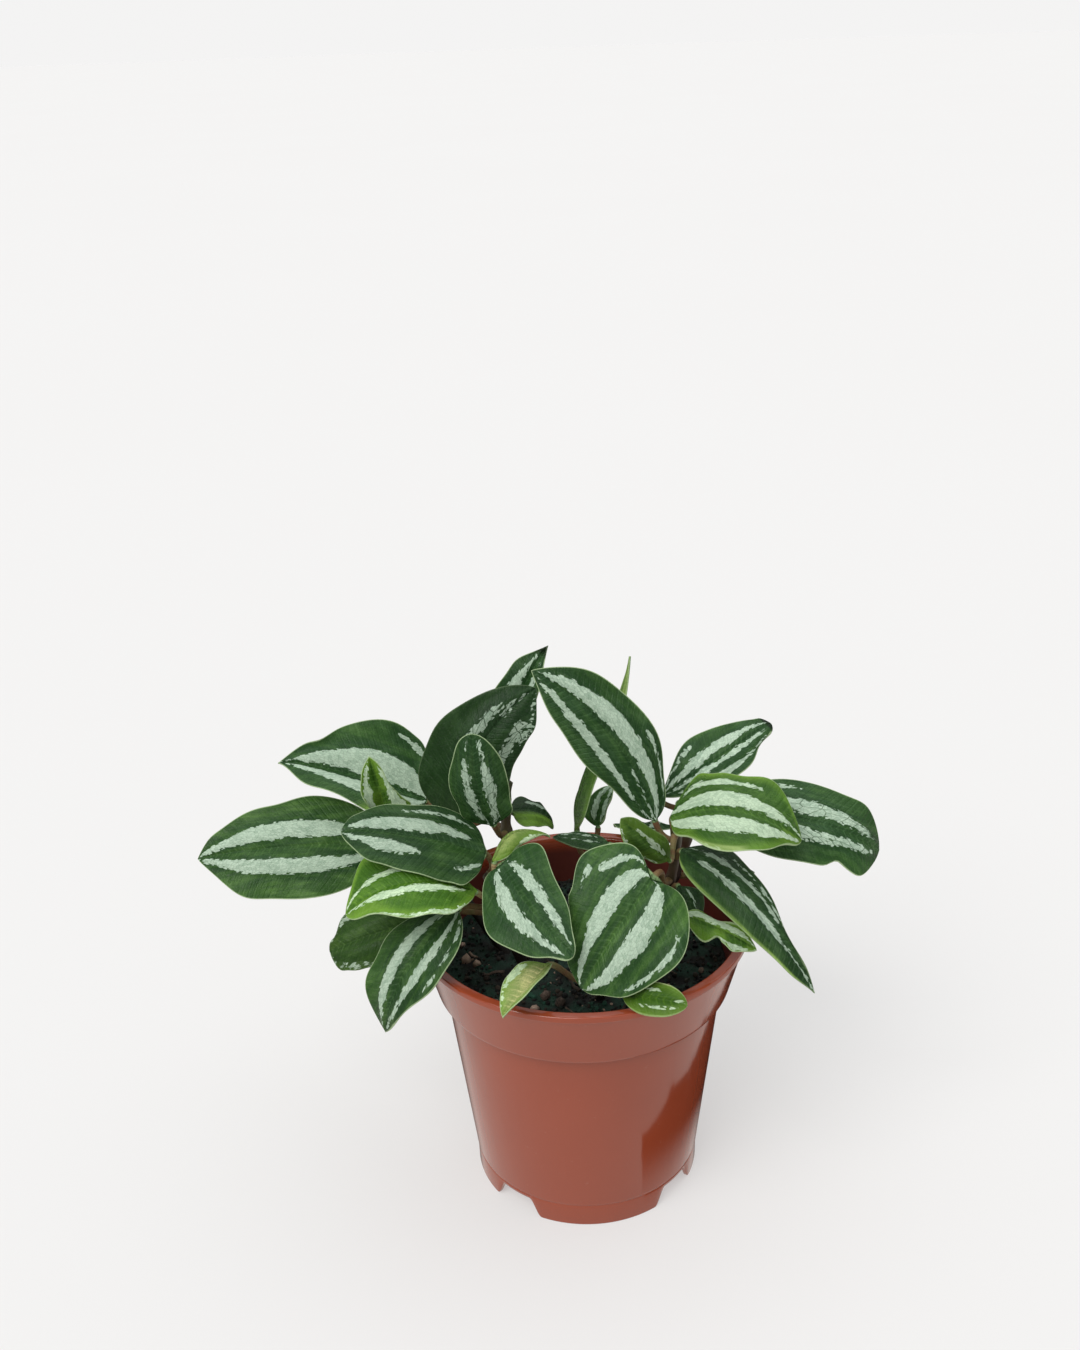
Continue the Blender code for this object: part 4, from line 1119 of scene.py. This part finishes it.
def make_pebbles():
    """A few larger bits of grit and bark, each at its own place on the mix."""
    chance = np.random.default_rng(5)
    x, y, sizes, paleness = np.array(PEBBLES, float).T
    grain = np.stack([0 * x + 0.6, 0 * x, paleness], axis=-1)
    return scattered("mix_pebbles", chance, on_soil(x, y, sizes * 0.3), sizes, 0.7, grain, MIX_FINISH)


print("crumb faces:", len(make_crumbs(CRUMB_COUNT).data.polygons))
print("pebble faces:", len(make_pebbles().data.polygons))

# %% [markdown]
# Bits of root and bark lie among the crumbs. Each is a thin bent tube with one end a little
# raised.

# %% Twigs
TWIG_COUNT = 7
TWIG_ROWS = 9
TWIG_AROUND = 8


def make_twigs(count):
    """Thin bits of root and bark: tubes along a parabola that lies on the mix, one end raised."""
    chance = np.random.default_rng(23)
    twigs = []
    for number in range(count):
        reach, azimuth = chance.uniform(20, 41), chance.uniform(-pi, 0)
        x, y = reach * cos(azimuth), reach * sin(azimuth)
        heading = chance.uniform(0, 2 * pi)
        length, radius = chance.uniform(5, 11), chance.uniform(0.3, 0.6)
        share = np.linspace(-0.5, 0.5, TWIG_ROWS)
        bend = chance.uniform(-2, 2) * (share**2 - 0.25)
        px = x + length * share * np.cos(heading) - bend * np.sin(heading)
        py = y + length * share * np.sin(heading) + bend * np.cos(heading)
        middle = on_soil(px, py, radius * 1.2 + chance.uniform(0, 1.5) * (share + 0.5))
        across, up = np.array([[-sin(heading), cos(heading), 0.0], [0.0, 0.0, 1.0]])
        rings = rings_round(middle, across[None], up[None], radius, TWIG_AROUND)
        grain = np.tile([0.8, 0.0, chance.uniform(0.5, 0.75)], (TWIG_ROWS * TWIG_AROUND + 2, 1))
        tube = closed_tube(f"mix_twig_{number}", rings, middle[[0, -1]], MIX_FINISH, {"grain": grain})
        twigs.append(install(tube, "potting_mix"))
    return twigs


print("twigs:", len(make_twigs(TWIG_COUNT)))

# %% [markdown]
# The pot is injection moulded: a thin cone with a wide collar at the top, a rolled lip, a floor a
# little above the table, and feet left standing between four arches. Its plastic is glossy and
# coloured right through, with a film of dust. The inner wall below the lip is painted dark as
# shade, and "within", a number stored on the mesh, says where that is.

# %% Pot finish
TERRACOTTA = (0.265, 0.047, 0.018)
TERRACOTTA_LIGHT = (0.31, 0.058, 0.024)
DUST = (0.5, 0.3, 0.22)
# painted shade: the near black red of the inner wall below the lip
INNER_WALL_SHADE = (0.06, 0.004, 0.002)


def make_pot_finish():
    """Glossy terracotta-coloured plastic with faint dust, fine scratches and painted shade on the inner wall.
    """
    f = Finish("terracotta_plastic", specular=0.6)
    within, _, _ = f.attribute("within")
    place = f.object_place()
    _, _, height = f.parts(place)
    wall_shade = within * (1 - f.rise(height, (POT_HEIGHT - 6.5) * MM, (POT_HEIGHT - 1.5) * MM))
    cloud = f.noise(place, 28.0, 3.0)
    dust = f.noise(place, 420.0, 4.0, 0.7)
    scratch = f.noise(place, (260.0, 260.0, 18.0), 2.0, 0.6)
    colour = f.blend(cloud, TERRACOTTA, TERRACOTTA_LIGHT)
    colour = f.blend(f.rise(dust, 0.62, 0.8) * 0.12, colour, DUST)
    # painted shade: the inner wall is darkened towards near black, fading out just below the lip
    colour = f.blend(wall_shade * 0.85, colour, INNER_WALL_SHADE)
    gloss = 0.1 + f.rise(dust, 0.5, 0.8) * 0.08 + f.rise(scratch, 0.55, 0.75) * 0.05 + wall_shade * 0.4
    return f.skin(colour, gloss, scratch * 0.4 + cloud, 0.00015)


POT_FINISH = make_pot_finish()

# %% [markdown]
# The skin of the pot is one line carried round the axis: up the inside, over the lip, down the
# collar and the body to the feet, and in under the floor. Moulded corners are never sharp, so
# every corner of that line becomes a small arc.

# %% Pot profile
FLOOR_UNDERSIDE = 8.6
FLOOR_TOP = 9.8
COLLAR_BOTTOM = 81.7
COLLAR_RADIUS = 53.4
BODY_TOP_RADIUS = 50.3
FOOT_RADIUS = 41.8
FOOT_THICKNESS = 1.8
WALL = 1.2
CORNER_RADIUS = 0.55


def rounded(corners, radius, steps=5):
    """A line through corners, each turned into a small arc: a quadratic curve between two points
    that lie a radius away from the corner along its two edges."""
    corners = np.asarray(corners, float)
    line = [corners[0]]
    for before, corner, after in zip(corners[:-2], corners[1:-1], corners[2:]):
        reach_in = min(radius, np.linalg.norm(before - corner) * 0.45)
        reach_out = min(radius, np.linalg.norm(after - corner) * 0.45)
        start = corner + unit(before - corner) * reach_in
        end = corner + unit(after - corner) * reach_out
        for share in np.linspace(0, 1, steps):
            line.append((1 - share) ** 2 * start + 2 * share * (1 - share) * corner + share**2 * end)
    line.append(corners[-1])
    return np.array(line)


def pot_profile():
    """Radius and height: up the inside, over the lip, down to the feet and in under the floor."""
    inside = [
        (0.5, FLOOR_TOP), (FOOT_RADIUS - WALL, FLOOR_TOP), (BODY_TOP_RADIUS - WALL, COLLAR_BOTTOM - 1.0),
        (BODY_TOP_RADIUS + 0.3, COLLAR_BOTTOM + 1.4), (RIM_RADIUS - 4.1, POT_HEIGHT - 1.4),
    ]
    lip = [
        (RIM_RADIUS - 3.2, POT_HEIGHT), (RIM_RADIUS, POT_HEIGHT), (RIM_RADIUS, POT_HEIGHT - 2.4),
        (RIM_RADIUS - 1.1, POT_HEIGHT - 2.8),
    ]
    collar = [
        (COLLAR_RADIUS + 0.2, COLLAR_BOTTOM + 0.7), (COLLAR_RADIUS - 0.1, COLLAR_BOTTOM),
        (BODY_TOP_RADIUS + 0.6, COLLAR_BOTTOM - 0.5), (BODY_TOP_RADIUS, COLLAR_BOTTOM - 1.7),
    ]
    foot = [
        (FOOT_RADIUS + 0.2, FLOOR_UNDERSIDE + 0.9), (FOOT_RADIUS - 0.25, FLOOR_UNDERSIDE + 0.3),
        (FOOT_RADIUS - 0.05, FLOOR_UNDERSIDE - 0.4), (FOOT_RADIUS - 0.2, 0.0),
        (FOOT_RADIUS - FOOT_THICKNESS, 0.0), (FOOT_RADIUS - FOOT_THICKNESS, FLOOR_UNDERSIDE),
        (0.5, FLOOR_UNDERSIDE),
    ]
    return rounded(inside + lip + collar + foot, CORNER_RADIUS)


print("points of the profile:", len(pot_profile()))

# %% [markdown]
# The arches need no cutting. At each angle the profile's lowest part is lifted by how high the
# arch stands there, so that the feet's edge follows the arch.

# %% Pot with its arches
POT_AROUND = 512
ARCH_COUNT = 4
ARCH_AZIMUTH = -39.2
ARCH_HEIGHT = 7.4
ARCH_WIDTH = 20.6
ARCH_TOP_WIDTH = 14.0


def arch_height(theta):
    """How high the feet's edge stands at an angle: a trapezium with soft corners for each arch.

    What counts is the distance along the foot from the nearest arch's middle: the edge stays down
    beyond half the arch's width, is all the way up within half its top's, and a smooth step joins
    the two.
    """
    spacing = 2 * pi / ARCH_COUNT
    offset = (theta - radians(ARCH_AZIMUTH) + spacing / 2) % spacing - spacing / 2
    distance = np.abs(offset) * FOOT_RADIUS
    share = np.clip((ARCH_WIDTH / 2 + 0.5 - distance) / ((ARCH_WIDTH - ARCH_TOP_WIDTH) / 2 + 1.6), 0, 1)
    return ARCH_HEIGHT * share * share * (3 - 2 * share)


def make_pot():
    """The profile at every angle, with its lowest part squeezed up into the arches."""
    profile = pot_profile()
    theta = np.linspace(0, 2 * pi, POT_AROUND, endpoint=False)
    radius, height = profile[:, :1], profile[:, 1:]
    foot_zone = (radius > FOOT_RADIUS - FOOT_THICKNESS - 0.5) & (height < FLOOR_UNDERSIDE)
    raised = arch_height(theta) + height * (1 - arch_height(theta) / FLOOR_UNDERSIDE)
    rings = polar(radius, theta, np.where(foot_zone, raised, height))
    ends = np.array([[0, 0, FLOOR_TOP], [0, 0, FLOOR_UNDERSIDE]])
    return install(closed_tube("moulded_pot", rings, ends, POT_FINISH), "pot", "pot")


pot_piece = make_pot()
print("pot faces before drilling:", len(pot_piece.data.polygons))

# %% [markdown]
# Round holes can't follow a grid of rings, so the four drain holes are drilled with a boolean cut.
# A modifier would stay live, so the cut mesh is kept in its place. The cut drops what is stored on
# points, so "within" is stored after it.

# %% Drain holes
HOLE_COUNT = 4
HOLE_RING = 27.0
HOLE_RADIUS = 3.0


def drill_floor(pot):
    """Cut the round drain holes through the floor, then keep the cut mesh and drop the cutters."""
    tool = bmesh.new()
    size = dict(radius1=HOLE_RADIUS * MM, radius2=HOLE_RADIUS * MM, depth=4 * MM)
    for number in range(HOLE_COUNT):
        azimuth = radians(ARCH_AZIMUTH) + 2 * pi * number / HOLE_COUNT
        place = Matrix.Translation(in_frame(polar(HOLE_RING, azimuth, FLOOR_TOP - 0.6)))
        bmesh.ops.create_cone(tool, cap_ends=True, segments=40, matrix=place, **size)
    cutter_mesh = bpy.data.meshes.new("drill")
    tool.to_mesh(cutter_mesh)
    tool.free()
    cutter = add_object("drill", cutter_mesh)
    cut = pot.modifiers.new("drain_holes", "BOOLEAN")
    cut.object = cutter
    cut.solver = "EXACT"
    shape = pot.evaluated_get(bpy.context.evaluated_depsgraph_get())
    pot.data = bpy.data.meshes.new_from_object(shape)
    pot.modifiers.clear()
    bpy.data.objects.remove(cutter)


def mark_inside(pot):
    """Store "within" on the points: 1 on the inner wall, where the finish paints shade, and 0 elsewhere."""
    points = np.zeros(3 * len(pot.data.vertices))
    pot.data.vertices.foreach_get("co", points)
    x, y, z = (points.reshape(-1, 3) - POT_AXIS).T / MM
    within = (np.hypot(x, y) < wall_radius(z) + 0.4) & (z > FLOOR_TOP - 0.1) & (z < POT_HEIGHT - 1.0)
    stored = pot.data.attributes.new("within", "FLOAT_VECTOR", "POINT")
    stored.data.foreach_set("vector", np.repeat(within.astype(float), 3))


drill_floor(pot_piece)
mark_inside(pot_piece)
print("pot faces:", len(pot_piece.data.polygons))

# %% [markdown]
# The stage is one wide, pale, matt floor, far larger than the plant, so that its edge lies near
# the horizon from wherever one looks. It glows a little, which keeps it evenly pale. Glossy skin
# doesn't mirror it: the sky's lower half is mirrored in its place.

# %% Floor
PAPER = (0.35, 0.345, 0.341)
PAPER_LIGHT = (0.357, 0.354, 0.351)
PAPER_GLOW = (1.0, 0.99, 0.98)
GLOW_STRENGTH = 0.46
FLOOR_AROUND = 96
FLOOR_RADII = (40.0, 8.0, 1.5, 0.3)  # metres


def staged(name, points, faces, material):
    """A flat mesh for the setting round the plant, linked to the scene."""
    mesh = bpy.data.meshes.new(name)
    mesh.from_pydata(points.tolist(), [], faces)
    mesh.materials.append(material)
    piece = add_object(name, mesh)
    return piece


def make_floor():
    """A flat disc of paper: rings from its edge inwards, closed by its middle point."""
    f = Finish("pale_paper", specular=0.0)
    f.skin(f.blend(f.noise(f.object_place(), 1.3), PAPER, PAPER_LIGHT), 1.0)
    f.shader.inputs["Emission Color"].default_value = (*PAPER_GLOW, 1.0)
    f.shader.inputs["Emission Strength"].default_value = GLOW_STRENGTH
    theta = np.linspace(0, 2 * pi, FLOOR_AROUND, endpoint=False)
    rings = polar(np.array(FLOOR_RADII)[:, None], theta, 0)
    points = np.concatenate([rings.reshape(-1, 3), [[0, 0, 0]]])
    inner = len(points) - 1 - FLOOR_AROUND + np.arange(FLOOR_AROUND)
    faces = quads_between(len(FLOOR_RADII), FLOOR_AROUND).tolist()
    floor = staged("floor", points, faces + fan(inner, len(points) - 1).tolist(), f.material)
    floor.visible_glossy = False


make_floor()

# %% [markdown]
# Glossy plastic shows what stands round it. A black card lies flat at the right of the pot, just
# under the floor, where only mirroring skin sees it. It is a painted shadow: it stands for the
# pot's shadow on the table at its right, gives that side of the pot its darker reflection, and
# fades out towards the foot.

# %% Black card: a painted shadow seen in reflections
# painted shadow: the colours of the pot's shadow on the table, as the pot mirrors it
SHADOW_CARD_BLACK = (0.012, 0.01, 0.009)
SHADOW_CARD_GREY = (0.02, 0.018, 0.016)
CARD_FADE = (42 * MM, 66 * MM)  # distances from the pot's axis between which it comes in
CARD_HEIGHT = -1.0
CARD = [(0, -20), (16, -32), (27, -40), (46, -55), (80, -34), (97, 16), (100, 60), (90, 240), (0, 240)]


def make_shadow_card():
    """A flat polygon of painted shadow whose alpha rises with the distance from the pot's axis."""
    f = Finish("mirrored_shadow_card", specular=0.0)
    place = f.object_place()
    # painted shadow: near black where the pot's shadow on the table would be mirrored
    f.skin(f.blend(f.noise(place, 9.0), SHADOW_CARD_BLACK, SHADOW_CARD_GREY), 1.0)
    ends = {0: place, 1: tuple(in_frame((0, 0, CARD_HEIGHT)))}
    away = f.node("VectorMath", {"operation": "DISTANCE"}, ends, output="Value")
    f.feed(f.shader.inputs["Alpha"], f.rise(away, *CARD_FADE))
    corners = in_frame([(x, y, CARD_HEIGHT) for x, y in CARD])
    card = staged("card", corners, [tuple(range(len(CARD)))], f.material)
    card.visible_camera = False
    card.visible_diffuse = False
    card.visible_shadow = False


make_shadow_card()

# %% [markdown]
# Two suns with a very wide disc stand for soft boxes: they light the whole floor evenly and give
# shadows without an edge. The sky that lights the plant is dimmer than the sky that is seen, so
# that the floor runs into it without a line.

# %% Lights
BACKDROP = (0.905, 0.9, 0.896)
ZENITH_LIGHT = (0.62, 0.63, 0.645)
HORIZON_LIGHT = (0.16, 0.16, 0.16)
TABLE_LIT = (0.8, 0.76, 0.72)
TABLE_SHADED = (0.02, 0.018, 0.016)


def soft_sun(name, azimuth, elevation, strength, disc, colour):
    """A sun at a compass angle and height, whose disc is so many degrees wide."""
    data = bpy.data.lights.new(name, "SUN")
    data.energy = strength
    data.angle = radians(disc)
    data.color = colour
    lamp = add_object(name, data)
    lamp.rotation_euler = Vector(facing(azimuth, elevation)).to_track_quat("Z", "Y").to_euler()
    print(name, "shines from", azimuth, elevation)


def make_sky():
    """A world whose light depends on its direction: z is how high it lies, y how far behind.

    The upper half fades from a dim horizon to a bright zenith. The lower half is what glossy skin
    mirrors in place of the floor: a lit table in front, a shaded one behind.
    """
    sky = bpy.data.worlds.new("pale_sky")
    sky.use_nodes = True
    w = Nodes(sky.node_tree)
    _, y, z = w.parts(w.node("TexCoord", output="Generated"))
    table = w.blend(w.rise(y, 0.6, 0.8), TABLE_LIT, TABLE_SHADED)
    air = w.blend(w.rise(z, 0.0, 0.75), HORIZON_LIGHT, ZENITH_LIGHT)
    lit = w.node("Background", inputs={"Color": w.blend(w.rise(z, -0.06, 0.06), table, air)})
    shown = w.node("Background", inputs={"Color": BACKDROP})
    path = w.node("LightPath", output="Is Camera Ray")
    both = w.node("MixShader", inputs={0: path, 1: lit, 2: shown})
    w.feed(sky.node_tree.nodes["World Output"].inputs["Surface"], both)
    bpy.context.scene.world = sky


soft_sun("window", -125, 48, strength=2.0, disc=40, colour=(1.0, 0.99, 0.97))
soft_sun("overhead", 60, 74, strength=0.9, disc=70, colour=(0.97, 0.99, 1.0))
make_sky()
bpy.context.scene.view_settings.view_transform = "Standard"

# %% [markdown]
# The camera stands a little more than half a metre from the pot, well above it, and looks down
# over it, with the pot low in its view. Its place follows from the height angle of the line from
# a point on the pot's axis, and its direction from how far it is tipped up, turned and rolled.

# %% Camera
HEIGHT_ANGLE = radians(36.95)
DISTANCE = 560.0
AIM_HEIGHT = 60.0
TIPPED_UP = radians(13.22)
TURNED = radians(-1.53)
ROLLED = radians(1.98)
SENSOR = 36.0
LENS = 39.07


def make_camera():
    """Axes of the camera from its three angles, and its place from angle and distance."""
    place = in_frame((0, -DISTANCE * cos(HEIGHT_ANGLE), AIM_HEIGHT + DISTANCE * sin(HEIGHT_ANGLE)))
    down = HEIGHT_ANGLE - TIPPED_UP
    forward = Vector((sin(TURNED) * cos(down), cos(TURNED) * cos(down), -sin(down)))
    right = forward.cross(Vector((0, 0, 1))).normalized()
    up = right.cross(forward)
    across = right * cos(ROLLED) - up * sin(ROLLED)
    upright = right * sin(ROLLED) + up * cos(ROLLED)
    axes = Matrix((across, upright, -forward)).transposed()
    data = bpy.data.cameras.new("camera")
    data.sensor_width = SENSOR
    data.lens = LENS
    data.clip_start = 0.02
    camera = add_object("camera", data)
    camera.matrix_world = Matrix.Translation(place) @ axes.to_4x4()
    bpy.context.scene.camera = camera
    print("camera at, in millimetres:", (place / MM).round(1))


make_camera()
